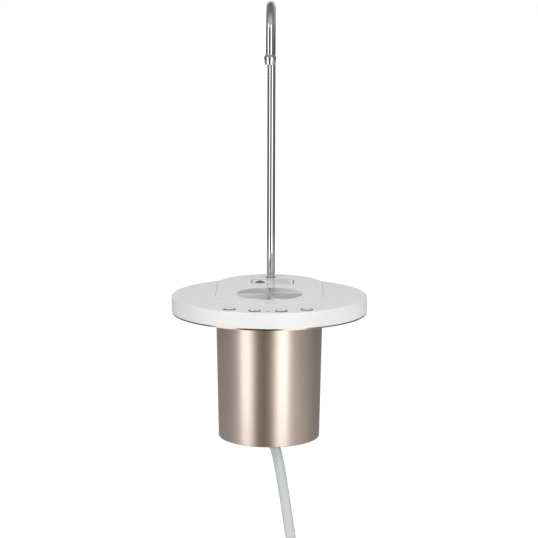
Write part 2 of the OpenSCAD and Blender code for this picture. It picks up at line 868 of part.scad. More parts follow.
module motor_magnets() {
    r = motor_in_r - seat_fit;
    color(magnet_grey) at(drive_x, gear_y, magnet_z) for (side = [0, 180])
        rotate(side - magnet_span) rotate_extrude(angle = 2 * magnet_span)
            translate([r - magnet_t, 0]) square([magnet_t, magnet_h]);
}

module motor_brushes() {
    in_x = commutator_r + brush_gap;
    color(magnet_grey) at(drive_x, gear_y, motor_cap_z - commutator_h) for (side = [0, 180])
        rotate(side) at(in_x, -brush_w / 2, 0) cube([motor_in_r - seat_fit - in_x, brush_w, commutator_h]);
}

module motor_bushes() {
    color(brass) for (z = [motor_z, motor_cap_z]) at(drive_x, gear_y, z)
        ring(bush_d / 2, shaft_d / 2 + run_fit, bush_h);
}

module motor_shaft() {
    color(steel) at(drive_x, gear_y, shaft_z) cylinder(d = shaft_d, h = shaft_top_z - shaft_z);
}

module armature_core() {
    color(steel) at(drive_x, gear_y, armature_z) linear_extrude(armature_h) difference() {
        union() {
            circle(hub_r);
            difference() {
                circle(armature_r);
                circle(armature_r - pole_t);
                for (a = [60, 180, 300]) rotate(a) polygon([
                    [0, 0], polar(2 * armature_r, -pole_gap / 2), polar(2 * armature_r, pole_gap / 2)
                ]);
            }
            for (a = [0, 120, 240]) rotate(a) translate([0, -arm_w / 2])
                square([armature_r - pole_t / 2, arm_w]);
        }
        circle(d = shaft_d);
    }
}

module armature_windings() {
    x0 = hub_r + 0.3;
    room_r = armature_r - pole_t - 0.2;
    l = sqrt(room_r ^ 2 - (arm_w / 2 + coil_w) ^ 2) - x0;
    lift = (coil_h - armature_h) / 2;
    color(copper) at(drive_x, gear_y, armature_z - lift) for (a = [0, 120, 240]) rotate(a) difference() {
        at(x0, -arm_w / 2 - coil_w, 0) cube([l, arm_w + 2 * coil_w, coil_h]);
        at(x0 - past, -arm_w / 2, lift) cube([l + 2 * past, arm_w, armature_h]);
    }
}

module commutator() {
    color(copper) at(drive_x, gear_y, commutator_z) difference() {
        ring(commutator_r, shaft_d / 2, commutator_h);
        for (a = [60, 180, 300]) rotate(a) at(commutator_r - 0.5, -0.2, -past)
            cube([1, 0.4, commutator_h + 2 * past]);
    }
}

module battery_cradle() {
    in_r = cell_d / 2 + cell_fit;
    color(black_plastic) at(battery_x, 0, floor_z) difference() {
        cylinder(r = in_r + cradle_t, h = cradle_floor + cradle_h);
        at(0, 0, cradle_floor) cylinder(r = in_r, h = cradle_h + past);
        at(in_r / 2, -2 * in_r, cradle_floor) cube([2 * in_r, 4 * in_r, cradle_h + past]);
    }
}

module battery_cell() {
    color(cell_blue) at(battery_x, 0, cell_z) {
        cylinder(d = cell_d, h = cell_l - nub_h);
        cylinder(r = nub_r, h = cell_l);
    }
}

module battery_tabs() {
    color(steel) for (z = [cell_z - tab_t, cell_top_z]) at(battery_x, 0, z) cylinder(r = tab_r, h = tab_t);
}

module power_board() {
    face_x = power_x + board_t / 2;
    color(board_green) {
        at(power_x - board_t / 2, -power_w / 2, power_z) cube([board_t, power_w, power_h]);
        for (s = [-1, 1]) at(face_x - board_bite, s * power_w / 4 - plug_w / 2, plug_z)
            cube([plug_t + board_bite, plug_w, plug_h]);
        at(face_x - board_bite, -chip_w / 2, chip_z) cube([chip_t + board_bite, chip_w, chip_h]);
        for (s = [-1, 1]) at(face_x - board_bite, s * capacitor_y, capacitor_z) rotate([0, 90, 0])
            cylinder(d = capacitor_d, h = capacitor_l + board_bite);
    }
}

// Where the leads of a pair end on the power board, and how far apart they run
function plug_spot(side, k) =
    [power_x + board_t / 2 + plug_t, side * power_w / 4 + k * lead_gap / 2, plug_z + plug_h / 2];

module motor_leads() {
    z = motor_cap_z + cap_h + terminal_h;
    b = lead_bend;
    color(lead_red) for (k = [-1, 1]) {
        start = [drive_x + k * terminal_x, gear_y, z];
        plug = plug_spot(-1, -k);
        lead([
            start, start + b * [0, 0, 1], start + b * [-0.6, -0.3, 1.6],
            [plug.x + 2.4 * b, plug.y + b / 3, z + 1.3 * b],
            plug + b * [1, 0, 1.3], plug + b * [1, 0, 0], plug
        ], lead_d, lead_sides, [0, 1, 0]);
    }
}

module battery_leads() {
    color(lead_red) for (k = [-1, 1]) {
        tab_z = cell_top_z + tab_t;
        start = [battery_x - lead_gap / 2, k * lead_gap / 2, tab_z];
        b = lead_bend;
        plug = plug_spot(1, k);
        lead([
            start, start + b * [0, 0, 1], start + b * [-1.3, 0.7, 1.6],
            [battery_x - 7.4 * b, plug.y + 3.3 * b, tab_z + 1.3 * b],
            [plug.x + 3.7 * b, plug.y + 2 * b, tab_z - 0.7 * b],
            plug + b * [1, 0, 1.3], plug + b * [1, 0, 0], plug
        ], lead_d, lead_sides, [0, 1, 0]);
    }
}

module outlet_hose() {
    color(clear_rubber) at(0, outlet_y0, outlet_z) rotate([-90, 0, 0]) mirror([0, 1, 0])
        pipe(outlet_steps, outlet_d, outlet_hose_bore_d);
}

module tray_base() {
    color(champagne) {
        difference() {
            at(0, 0, base_z) linear_extrude(base_t) difference() {
                union() {
                    circle(tray_d / 2 - base_inset);
                    stadium(lid_r - base_inset);
                }
                circle(column_hole_r);
                translate([0, column_hole_r]) circle(hose_notch_r);
            }
            around(housing_boss_r, housing_screw_angles) at(0, 0, tray_z) screw_hole(base_t + past);
            tray_screw_spots() at(0, 0, tray_z) screw_hole(base_t + past);
            lid_screw_places() at(0, 0, tray_z) screw_hole(base_t + past);
            spout_screw_places() at(0, 0, tray_z) screw_hole(base_t + past);
        }
        at(-charge_w / 2, charge_y, tray_z - base_t / 2)
            cube([charge_w, charge_l, charge_pad_h + base_t / 2]);
    }
}

module housing_screws() {
    color(steel) around(housing_boss_r, housing_screw_angles) at(0, 0, tray_z)
        screw(housing_screw_l + base_t);
}

// Places of the screws that come up through the tray's base
module tray_screw_spots() {
    mirrored_x() around(tray_screw_r, tray_screw_angles) children();
}

module lid_screw_places() {
    mirrored_x() for (p = lid_screw_spots) translate([p.x, lobe_y + p.y, 0]) children();
}

module spout_screw_places() {
    mirrored_x() translate([spout_screw_x, spout_screw_y, 0]) children();
}

module upside_down() {
    mirror([0, 0, 1]) children();
}

module boss_up() {
    at(0, 0, tray_z) cylinder(d = boss_d, h = tray_h - tray_t / 2);
}

module tray_shell() {
    hollow_h = tray_h - tray_t;
    color(white) difference() {
        union() {
            difference() {
                at(0, 0, tray_z) rotate_extrude() plate_section(tray_d / 2, tray_h, tray_edge_r);
                at(0, 0, tray_z - past) linear_extrude(tray_h + 2 * past) stadium(notch_r);
                at(0, 0, tray_z - past) linear_extrude(hollow_h + past) difference() {
                    circle(tray_d / 2 - tray_t);
                    stadium(notch_r + lid_skirt_t);
                }
            }
            tray_screw_spots() boss_up();
            around(board_screw_r, board_screw_angles) at(0, 0, board_z + board_t)
                cylinder(d = boss_d, h = ceiling_z - board_z - board_t + tray_t / 2);
        }
        tray_screw_spots() at(0, 0, tray_z) upside_down() screw_hole(tray_screw_l - base_t + 1);
        around(board_screw_r, board_screw_angles) at(0, 0, board_z + board_t) upside_down()
            screw_hole(board_screw_l - board_t + 1);
        around(button_r, button_angles) at(0, 0, ceiling_z - past)
            cylinder(d = button_hole_d, h = tray_t + 2 * past);
        at(0, -lens_r, ceiling_z - past) cylinder(d = lens_d + 2 * seat_fit, h = tray_t + 2 * past);
    }
}

module tray_screws() {
    color(steel) tray_screw_spots() at(0, 0, base_z) upside_down() screw(tray_screw_l);
}

module lid_block(r, h, edge) {
    for (y = [0, lobe_y]) at(0, y, 0) rotate_extrude() plate_section(r, h, edge);
    at(0, lobe_y, 0) rotate([90, 0, 0]) linear_extrude(lobe_y) mirrored_x() plate_section(r, h, edge);
}

module deck_lid() {
    hollow_h = tray_h - tray_t;
    color(white) difference() {
        union() {
            difference() {
                at(0, 0, tray_z) lid_block(lid_r, tray_h, crown_edge_r);
                at(0, 0, tray_z - past) linear_extrude(hollow_h + past) stadium(lid_r - lid_skirt_t);
            }
            lid_screw_places() boss_up();
        }
        lid_screw_places() at(0, 0, tray_z) upside_down() screw_hole(lid_screw_l - base_t + 1);
        at(0, disc_y, top_z - disc_recess) cylinder(d = disc_d + 2 * seat_fit, h = disc_recess + past);
        at(0, spout_y, ceiling_z - past) cylinder(d = grommet_d, h = tray_t + 2 * past);
        at(0, lobe_y + lid_r / 2, port_mid_z) rotate([-90, 0, 0]) linear_extrude(lid_r)
            obround(port_w + 2 * port_cut, port_h + 2 * port_cut);
    }
}

module lid_screws() {
    color(steel) lid_screw_places() at(0, 0, base_z) upside_down() screw(lid_screw_l);
}

module cup_disc() {
    color(steel) at(0, disc_y, top_z - disc_recess) rotate_extrude()
        plate_section(disc_d / 2, disc_t, disc_proud / 2);
}

module button(angle) {
    color(white) rotate(angle) at(0, -button_r, 0) {
        at(0, 0, flange_z) rotate_extrude()
            plate_section(button_d / 2, top_z + button_proud - flange_z, crown_edge_r);
        at(0, 0, flange_z) cylinder(d = flange_d, h = flange_t);
        at(0, 0, stem_z) cylinder(d = stem_d, h = stem_h + flange_t / 2);
    }
}

module button_left_outer() {
    button(button_angles[0]);
}

module button_left_inner() {
    button(button_angles[1]);
}

module button_right_inner() {
    button(button_angles[2]);
}

module button_right_outer() {
    button(button_angles[3]);
}

// A slice of a ring, centred on the front
module front_slice(r_out, r_in, half_angle) {
    rotate(-90 - half_angle) intersection() {
        difference() {
            circle(r_out);
            circle(r_in);
        }
        polygon([[0, 0], each [for (k = [0 : 4]) polar(2 * r_out, half_angle * k / 2)]]);
    }
}

module button_pad() {
    color(clear_rubber) difference() {
        union() {
            at(0, 0, pad_z) linear_extrude(pad_t)
                front_slice(board_out_r - loose_fit, pad_in_r, board_half_angle - 1);
            around(button_r, button_angles) at(0, 0, pad_z + pad_t / 2)
                cylinder(d1 = dome_d, d2 = stem_d, h = dome_h + pad_t / 2);
        }
        at(0, -lens_r, pad_z - past)
            cylinder(d = lens_flange_d + 2 * loose_fit, h = pad_t + dome_h + 2 * past);
    }
}

module control_board() {
    color(board_green) difference() {
        union() {
            at(0, 0, board_z) linear_extrude(board_t)
                front_slice(board_out_r, board_in_r, board_half_angle);
            at(0, -lens_r, board_z + board_t / 2) cylinder(d = lens_d, h = board_t / 2 + led_h);
            at(-board_plug_w / 2, -board_in_r - 2 * board_plug_l, board_z - board_plug_h)
                cube([board_plug_w, board_plug_l, board_plug_h + board_t / 2]);
        }
        around(board_screw_r, board_screw_angles) at(0, 0, board_z + board_t) screw_hole(board_t + past);
    }
}

module board_screws() {
    color(steel) around(board_screw_r, board_screw_angles) at(0, 0, board_z) upside_down()
        screw(board_screw_l);
}

module indicator_lens() {
    low = board_z + board_t + led_h + 0.2;
    color(clear_rubber) at(0, -lens_r, 0) {
        at(0, 0, low) cylinder(d = lens_d, h = top_z + 0.1 - low);
        at(0, 0, ceiling_z - 1) cylinder(d = lens_flange_d, h = 1);
    }
}

module spout_socket() {
    front_y = spout_y + spout_block_back - spout_block_l;
    color(white) difference() {
        union() {
            at(-spout_block_w / 2, front_y, tray_z)
                cube([spout_block_w, spout_block_l, spout_block_top - tray_z]);
            at(0, spout_nipple_y, spout_nipple_z) rotate([-90, 0, 0])
                cylinder(d = outlet_nipple_d, h = spout_nipple_l + past);
        }
        at(0, spout_y, spout_seat_z) cylinder(d = spout_bore_d, h = tray_h);
        at(0, spout_y, duct_z) cylinder(d = spout_d - 2 * spout_t, h = spout_seat_z - duct_z + past);
        at(-duct_w / 2, spout_y - duct_l, duct_z) cube([duct_w, duct_l, duct_h]);
        at(-duct_w / 2, spout_y - duct_l, duct_z)
            cube([duct_w, duct_w, spout_nipple_z + outlet_bore_d / 2 - duct_z]);
        at(0, spout_nipple_y - past, spout_nipple_z) rotate([-90, 0, 0])
            cylinder(d = outlet_bore_d, h = spout_y - duct_l + duct_w / 2 - spout_nipple_y + past);
        for (z = seal_ring_zs) at(0, spout_y, z - seal_ring_r - seat_fit)
            cylinder(r = seal_ring_mid + seal_ring_r + seat_fit, h = 2 * (seal_ring_r + seat_fit));
        spout_screw_places() at(0, 0, tray_z) upside_down() screw_hole(spout_screw_l - base_t + 1);
    }
}

module spout_socket_screws() {
    color(steel) spout_screw_places() at(0, 0, base_z) upside_down() screw(spout_screw_l);
}

module spout_orings() {
    color(dark_rubber) for (z = seal_ring_zs) at(0, spout_y, z) torus(seal_ring_mid, seal_ring_r);
}

module spout_grommet() {
    color(dark_rubber) at(0, spout_y, spout_block_top)
        ring(grommet_d / 2 - seat_fit / 2, spout_d / 2 + 2 * run_fit, top_z + 0.2 - spout_block_top);
}

module spout_tube() {
    rise = spring_z - tube_z;
    crown_l = spout_reach - 2 * bend_r;
    steps = [[rise, 0], [bend_r, 90], [crown_l, 0], [bend_r, 90], [drop_l, 0]];
    color(steel) at(0, spout_y, tube_z) mirror([0, 1, 0]) pipe(steps, spout_d, spout_d - 2 * spout_t);
}

module spout_nozzle() {
    shoulder = nozzle_h - nozzle_bevel_h;
    tip_r = nozzle_tip_d / 2;
    top_r = nozzle_d / 2;
    tube_r = spout_d / 2 + run_fit;
    color(steel) at(0, spout_y - spout_reach, nozzle_z) rotate_extrude() polygon([
        [outlet_tip_d / 2, 0], [tip_r, 0], [top_r, shoulder], [top_r - nozzle_bevel_w, nozzle_h],
        [tube_r, nozzle_h], [tube_r, nozzle_seat], [outlet_tip_d / 2, nozzle_seat]
    ]);
}

module charge_board() {
    color(board_green) at(-charge_w / 2, charge_y, charge_z) cube([charge_w, charge_l, charge_t]);
}

module charge_socket() {
    inner_w = port_w - 2 * port_wall;
    inner_h = port_h - 2 * port_wall;
    color(steel) at(0, port_y, port_mid_z) rotate([90, 0, 0]) {
        difference() {
            linear_extrude(port_l) obround(port_w, port_h);
            at(0, 0, -past) linear_extrude(port_l - 1 + past) obround(inner_w, inner_h);
        }
        at(-port_tongue_w / 2, -port_tongue_t / 2, 1) cube([port_tongue_w, port_tongue_t, port_l - 1.5]);
    }
}

housing_shell();
socket_collar();
socket_sleeve();
socket_gasket();
chassis();
chassis_screws();
collar_screws();
inlet_spigot();
inlet_oring();
intake_hose();
pump_base();
pump_body();
pump_pads();
pump_screws();
drive_gear();
idler_gear();
idler_pin();
shaft_seal();
motor_can();
motor_end_cap();
motor_magnets();
motor_brushes();
motor_bushes();
motor_shaft();
armature_core();
armature_windings();
commutator();
battery_cradle();
battery_cell();
battery_tabs();
power_board();
motor_leads();
battery_leads();
outlet_hose();
tray_base();
housing_screws();
tray_shell();
tray_screws();
deck_lid();
lid_screws();
cup_disc();
button_left_outer();
button_left_inner();
button_right_inner();
button_right_outer();
button_pad();
control_board();
board_screws();
indicator_lens();
spout_socket();
spout_socket_screws();
spout_orings();
spout_grommet();
spout_tube();
spout_nozzle();
charge_board();
charge_socket();
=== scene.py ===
# %% [markdown]
# # Dressing an electric water pump
#
# The CAD model already holds every piece at its real size and place: a tapered column, a round tray with
# four push buttons, a steel plate for a cup, and a gooseneck that turns. This lesson gives those solids
# their looks. Each step says what the piece is on the real pump, how it could be made, and why one way
# was chosen. Visible pieces on which a facet would break a highlight, such as the polished tube, are
# worked out again as smooth surfaces with numpy. Flat mouldings whose solids are already right keep them
# and only get a finish.

# %% Load the CAD model
import json

import bmesh
import bpy
import numpy as np
from mathutils import Matrix, Vector

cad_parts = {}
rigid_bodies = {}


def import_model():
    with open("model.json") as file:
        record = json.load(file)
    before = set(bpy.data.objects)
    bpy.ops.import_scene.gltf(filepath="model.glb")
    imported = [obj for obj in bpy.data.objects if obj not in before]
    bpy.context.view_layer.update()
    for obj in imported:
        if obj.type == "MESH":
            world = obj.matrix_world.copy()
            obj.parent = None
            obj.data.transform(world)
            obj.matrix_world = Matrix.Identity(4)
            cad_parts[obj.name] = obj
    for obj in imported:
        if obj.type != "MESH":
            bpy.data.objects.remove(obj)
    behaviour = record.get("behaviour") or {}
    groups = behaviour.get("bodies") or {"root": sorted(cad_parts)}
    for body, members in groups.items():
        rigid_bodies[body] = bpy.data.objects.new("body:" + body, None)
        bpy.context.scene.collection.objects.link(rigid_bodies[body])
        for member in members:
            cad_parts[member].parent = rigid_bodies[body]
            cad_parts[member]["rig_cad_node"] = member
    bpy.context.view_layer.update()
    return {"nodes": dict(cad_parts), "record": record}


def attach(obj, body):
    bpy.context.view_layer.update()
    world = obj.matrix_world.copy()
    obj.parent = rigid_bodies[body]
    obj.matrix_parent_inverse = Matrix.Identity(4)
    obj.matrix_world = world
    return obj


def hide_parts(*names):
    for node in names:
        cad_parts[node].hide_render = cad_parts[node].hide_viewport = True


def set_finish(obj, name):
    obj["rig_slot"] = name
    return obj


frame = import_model()
nodes = frame["nodes"]
MM = 0.001
TURN = 2 * np.pi

# %% [markdown]
# ## The camera
#
# A long lens, far away and a little above the tray, keeps the tray's upper and lower edges almost
# parallel. The distance, the height and the lens could be tried by eye. Here they come from the tray's
# outline: its width gives the scale, and the height of its ellipse gives the tilt. The camera stands
# slightly to the right, which moves what is at the back of the tray to the right and what is at the
# front to the left.

# %% Place the camera
CAMERA_REACH = 1.6182
CAMERA_HEIGHT = 0.4315
CAMERA_SIDE = np.radians(0.837)
CAMERA_PAN = np.radians(0.0153)
CAMERA_TILT = np.radians(9.52)
CAMERA_ROLL = np.radians(0.173)
LENS = 116.8

lens_data = bpy.data.cameras.new("photo_camera")
lens_data.lens = LENS
lens_data.sensor_width = 36.0
lens_data.clip_end = 60.0
photo_camera = bpy.data.objects.new("photo_camera", lens_data)
bpy.context.scene.collection.objects.link(photo_camera)
stand = Vector((
    CAMERA_REACH * np.sin(CAMERA_SIDE), -CAMERA_REACH * np.cos(CAMERA_SIDE), CAMERA_HEIGHT,
))
photo_camera.matrix_world = (
    Matrix.Translation(stand)
    @ Matrix.Rotation(CAMERA_SIDE + CAMERA_PAN, 4, "Z")
    @ Matrix.Rotation(np.pi / 2 - CAMERA_TILT, 4, "X")
    @ Matrix.Rotation(CAMERA_ROLL, 4, "Z")
)
bpy.context.scene.camera = photo_camera
print("camera at", np.round(stand, 3).tolist())

# %% [markdown]
# ## From arrays to meshes
#
# A turned, drawn or bent piece is a grid: one parameter runs along it and one runs round it. Modelling it
# by hand would mean many loops and extrusions. A function that takes the whole grid as one array is
# shorter, and the same function then serves every piece. Doubled points at poles and seams are merged,
# the faces are turned outwards, and edges sharper than the crease angle stay crisp.


# %% Helpers that put grids into meshes
def grid_mesh(name, grid, loop_u=False, loop_v=False):
    """A mesh from a grid of points.

    Point (i, j) shares a face with (i+1, j), (i+1, j+1) and (i, j+1). A looped parameter joins its last
    row to its first. The UV map holds i and j as shares of the whole.
    """
    grid = np.asarray(grid, float)
    rows, columns = grid.shape[:2]
    steps_u, steps_v = rows - (not loop_u), columns - (not loop_v)
    i, j = (k.ravel() for k in np.meshgrid(np.arange(steps_u), np.arange(steps_v), indexing="ij"))
    corner_i = np.stack([i, i + 1, i + 1, i], 1)
    corner_j = np.stack([j, j, j + 1, j + 1], 1)
    index = (corner_i % rows) * columns + corner_j % columns
    mesh = bpy.data.meshes.new(name)
    mesh.vertices.add(rows * columns)
    mesh.vertices.foreach_set("co", grid.astype(np.float32).ravel())
    mesh.loops.add(index.size)
    mesh.loops.foreach_set("vertex_index", index.astype(np.int32).ravel())
    mesh.polygons.add(len(index))
    mesh.polygons.foreach_set("loop_start", np.arange(0, index.size, 4, dtype=np.int32))
    mesh.update(calc_edges=True)
    shares = np.stack([corner_i / steps_u, corner_j / steps_v], -1).astype(np.float32)
    mesh.uv_layers.new(name="grid").data.foreach_set("uv", shares.ravel())
    return mesh


def piece_from(name, meshes, crease=35.0):
    """One object from one or more meshes, with doubles merged and faces turned outwards."""
    shell = bmesh.new()
    for mesh in meshes:
        shell.from_mesh(mesh)
        bpy.data.meshes.remove(mesh)
    bmesh.ops.remove_doubles(shell, verts=shell.verts, dist=1e-7)
    bmesh.ops.dissolve_degenerate(shell, edges=shell.edges, dist=1e-8)
    bmesh.ops.recalc_face_normals(shell, faces=shell.faces)
    made = bpy.data.meshes.new(name)
    shell.to_mesh(made)
    shell.free()
    made.polygons.foreach_set("use_smooth", np.ones(len(made.polygons), bool))
    made.set_sharp_from_angle(angle=np.radians(crease))
    piece = bpy.data.objects.new(name, made)
    bpy.context.scene.collection.objects.link(piece)
    return piece


def dress(piece, body, slot, *stands_for):
    """Seats a new piece on its body, names its slot and hides the CAD nodes that it stands for."""
    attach(piece, body)
    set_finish(piece, slot)
    if stands_for:
        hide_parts(*stands_for)
    print(piece.name, "faces:", len(piece.data.polygons))
    return piece


# %% [markdown]
# ## Tubes along a path
#
# The hose and the gooseneck are both round tubes. A circle swept along a curve object would give one wall
# without thickness. Here the outer wall, the two lips and the inner wall are rows of one grid that closes
# on itself, so the tube has a real bore. A path known by a few points is first made a smooth curve.

# %% Helpers for tubes
LIP_STEPS = 7


def unit(vectors):
    """Vectors divided by their lengths."""
    return vectors / np.linalg.norm(vectors, axis=-1, keepdims=True)


def smooth_path(points, per_step=10):
    """A Catmull-Rom curve through the points.

    Between two points it is the cubic whose slope at each of them is half the step between that point's
    neighbours, so the curve passes through every point without a kink.
    """
    p = np.asarray(points, float)
    p = np.vstack([2 * p[0] - p[1], p, 2 * p[-1] - p[-2]])
    a, b, c, d = p[:-3, None], p[1:-2, None], p[2:-1, None], p[3:, None]
    t = (np.arange(per_step) / per_step)[None, :, None]
    curve = (
        b + t * (c - a) / 2
        + t**2 * (a - 2.5 * b + 2 * c - d / 2)
        + t**3 * (1.5 * (b - c) + (d - a) / 2)
    )
    return np.vstack([curve.reshape(-1, 3), p[-2]])


def run_along(path):
    """The distance run along a path up to each of its points."""
    return np.concatenate([[0], np.cumsum(np.linalg.norm(np.diff(path, axis=0), axis=1))])


def hollow_tube(name, path, aside, outer, inner, lip, sides=64):
    """A hollow tube along a path.

    The stations run along the outer wall, round the far lip, back along the inner wall and round the near
    lip, so the grid loops both ways. Round each station goes a circle square to the path: its two
    directions are `aside` crossed with the tangent, and the tangent crossed with that.
    """
    path = np.asarray(path, float)
    tangent = unit(np.gradient(path, axis=0))
    middle, bulge = (outer + inner) / 2, (outer - inner) / 2
    arc = np.linspace(0, np.pi, LIP_STEPS + 2)[1:-1]
    lip_r, lip_out = middle + bulge * np.cos(arc), np.minimum(lip, bulge) * np.sin(arc)
    back = slice(None, None, -1)
    stations = np.concatenate([
        path,
        path[-1] + lip_out[:, None] * tangent[-1],
        path[back],
        path[0] - lip_out[back, None] * tangent[0],
    ])
    along = np.concatenate([
        tangent,
        np.repeat(tangent[-1:], LIP_STEPS, 0),
        tangent[back],
        np.repeat(tangent[:1], LIP_STEPS, 0),
    ])
    radius = np.concatenate([
        np.full(len(path), outer), lip_r, np.full(len(path), inner), lip_r[back],
    ])
    across = unit(np.cross(np.asarray(aside, float), along))
    upright = np.cross(along, across)
    angle = np.arange(sides) * TURN / sides
    ring = np.cos(angle)[:, None, None] * across + np.sin(angle)[:, None, None] * upright
    return piece_from(name, [grid_mesh(name, stations + radius[:, None] * ring, True, True)])


# %% [markdown]
# ## The intake hose
#
# Water is drawn up through a translucent silicone hose, 10 mm thick with a 7 mm bore. It is pushed over
# the spigot inside the column, hangs through the socket and bends gently aside, because silicone that
# came off a roll keeps some of its curl. A curve object with a bevel would do, but it can't have a bore.
# A hollow tube along a smooth path can, so the light passes through two walls as it does in the real one.

# %% Make the intake hose
HOSE_D, HOSE_BORE, HOSE_LIP = 10 * MM, 7 * MM, 0.4 * MM
hose_route = MM * np.array([
    [0, -8, 41], [0, -8, 31], [0, -8, 21], [1, -8, 9], [4, -8, -4], [8, -8, -18], [11, -8, -33],
    [14, -8, -51], [17, -8, -71], [20, -8, -91], [23, -8, -111], [26, -7, -133], [29, -6, -156],
    [32, -5, -179], [35, -3, -202], [38, -1, -225], [41, 1, -248], [44, 3, -271], [47, 6, -294],
    [49, 9, -317], [51, 12, -340], [52, 15, -362],
])
hose_line = smooth_path(hose_route)
hose = hollow_tube("silicone_hose", hose_line, (0, 1, 0), HOSE_D / 2, HOSE_BORE / 2, HOSE_LIP, sides=48)
dress(hose, "body", "clear_silicone", "intake_hose")

# %% [markdown]
# ## The gooseneck
#
# The spout is drawn steel tube, 8 mm across with a 0.8 mm wall, bent twice to a 27 mm radius. Polished
# tube shows every facet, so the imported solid's triangles would break its long reflections. The same
# middle line, with points every two degrees in the bends, gives an even surface. The path is a list of
# straight runs and quarter circles in one plane, so `aside` is simply the direction square to that plane.

# %% Make the gooseneck
TOP = 135.5
SPOUT_Y, SPOUT_REACH, SPOUT_RISE = 97.0, 94.0, 242.0
SPOUT_D, SPOUT_WALL, BEND_R, DROP = 8.0, 0.8, 27.0, 24.0
TUBE_FOOT, TUBE_LIP = 123.7, 0.3
BORE_R = SPOUT_D / 2 - SPOUT_WALL
spring = TOP + SPOUT_RISE
front_y = SPOUT_Y - SPOUT_REACH
quarter = np.linspace(0, np.pi / 2, 46)
rise = np.linspace([SPOUT_Y, TUBE_FOOT], [SPOUT_Y, spring], 60)
first_bend = np.stack([
    SPOUT_Y - BEND_R + BEND_R * np.cos(quarter), spring + BEND_R * np.sin(quarter),
], 1)
crown = np.linspace(first_bend[-1], [front_y + BEND_R, spring + BEND_R], 12)
second_bend = np.stack([
    front_y + BEND_R - BEND_R * np.sin(quarter), spring + BEND_R * np.cos(quarter),
], 1)
drop = np.linspace(second_bend[-1], [front_y, spring - DROP], 12)
neck_line = np.vstack([rise[:-1], first_bend[:-1], crown[:-1], second_bend[:-1], drop])
neck_line = MM * np.column_stack([np.zeros(len(neck_line)), neck_line])
gooseneck = hollow_tube(
    "gooseneck", neck_line, (1, 0, 0), SPOUT_D / 2 * MM, BORE_R * MM, TUBE_LIP * MM, sides=96
)
dress(gooseneck, "spout", "polished_steel", "spout_tube")
print("gooseneck top:", round(neck_line[:, 2].max() + SPOUT_D / 2 * MM, 4), "m")

# %% [markdown]
# ## Turned pieces
#
# The nozzle, the column, the cup plate and the caps are round about an upright axis. The Screw modifier
# would turn a drawn profile too, but the profile would be a mesh drawn point by point. Here it is a short
# list of corners, each eased by a small curve, and turning it takes one sine and one cosine.


# %% Helpers for turned pieces
def rounded(corners, cut, steps=6):
    """A closed outline with its corners rounded.

    Each corner is replaced by a parabola that leaves one side and meets the other a distance `cut` from
    the corner: (1-t)^2 times the first point, 2t(1-t) times the corner, t^2 times the last point.
    """
    p = np.asarray(corners, float)
    cut = np.broadcast_to(np.asarray(cut, float), len(p))[:, None]
    first = p + cut * unit(np.roll(p, 1, 0) - p)
    last = p + cut * unit(np.roll(p, -1, 0) - p)
    t = np.linspace(0, 1, steps)[None, :, None]
    curve = (1 - t) ** 2 * first[:, None] + 2 * t * (1 - t) * p[:, None] + t**2 * last[:, None]
    return curve.reshape(-1, 2)


def turned(name, outline, centre=(0.0, 0.0), sides=128, crease=35.0):
    """A piece turned round a vertical axis: x = r cos a, y = r sin a, z = z for each outline point."""
    outline = np.asarray(outline, float) * MM
    angle = np.arange(sides)[:, None] * TURN / sides
    r, z = outline[:, 0][None], np.broadcast_to(outline[:, 1], (sides, len(outline)))
    x, y = centre[0] * MM + r * np.cos(angle), centre[1] * MM + r * np.sin(angle)
    return piece_from(name, [grid_mesh(name, np.stack([x, y, z], -1), True, True)], crease)


# %% [markdown]
# ## The nozzle and the dark ring
#
# A small turned nozzle is pushed on the tube's tip: a bevelled shoulder, a slight taper and an open
# mouth. At the tube's foot a dark ring keeps drips out of the lid. Both are turned outlines with their
# corners eased, because a sharp corner has no width to catch the light.

# %% Turn the nozzle and the ring
STOP_H, NOZZLE_H = 2.5, 9.0
NOZZLE_Z = spring - DROP - STOP_H
BEVEL_W, BEVEL_H, PRESS_GAP = 1.4, 1.9, 0.02
tip_r, shoulder_r = 9.7 / 2, 11.4 / 2
sleeve_r = SPOUT_D / 2 + PRESS_GAP
nozzle_top = NOZZLE_Z + NOZZLE_H
nozzle_outline = rounded(
    [
        [BORE_R, NOZZLE_Z], [tip_r, NOZZLE_Z], [shoulder_r, nozzle_top - BEVEL_H],
        [shoulder_r - BEVEL_W, nozzle_top], [sleeve_r, nozzle_top],
        [sleeve_r, NOZZLE_Z + STOP_H], [BORE_R, NOZZLE_Z + STOP_H],
    ],
    [0.25, 0.4, 0.3, 0.1, 0.05, 0.1, 0.1],
)
nozzle = turned("nozzle", nozzle_outline, (0, front_y), sides=96, crease=50)
dress(nozzle, "spout", "polished_steel", "spout_nozzle")

PROUD = 0.2
FOOT_IN, FOOT_OUT, FOOT_Z = 4.1, 4.85, 133.0
ring_outline = rounded(
    [[FOOT_IN, FOOT_Z], [FOOT_OUT, FOOT_Z], [FOOT_OUT, TOP + PROUD], [FOOT_IN, TOP + PROUD]],
    [0.1, 0.1, 0.2, 0.2],
)
foot_ring = turned("foot_ring", ring_outline, (0, SPOUT_Y), sides=72)
dress(foot_ring, "body", "dark_rubber", "spout_grommet")

# %% [markdown]
# ## The column
#
# The column is a moulding in champagne lacquer, a little narrower at the foot than at the top. It is the
# largest plain surface here, and soft bands of light run down it, so it is turned again with 256 sides.
# Its lower edge is eased, so that no hard corner shows against the light. The ledge inside carries the
# chassis.

# %% Turn the column
COLUMN_H, COLUMN_TOP_R, COLUMN_FOOT_R, COLUMN_WALL = 119.6, 50.2, 47.9, 2.2
LEDGE_FOOT, LEDGE_TOP, LEDGE_W = 42.0, 48.0, 6.0


def column_r(z):
    """The column's outer radius at a height: a straight line from its foot to its top."""
    return COLUMN_FOOT_R + (COLUMN_TOP_R - COLUMN_FOOT_R) * z / COLUMN_H


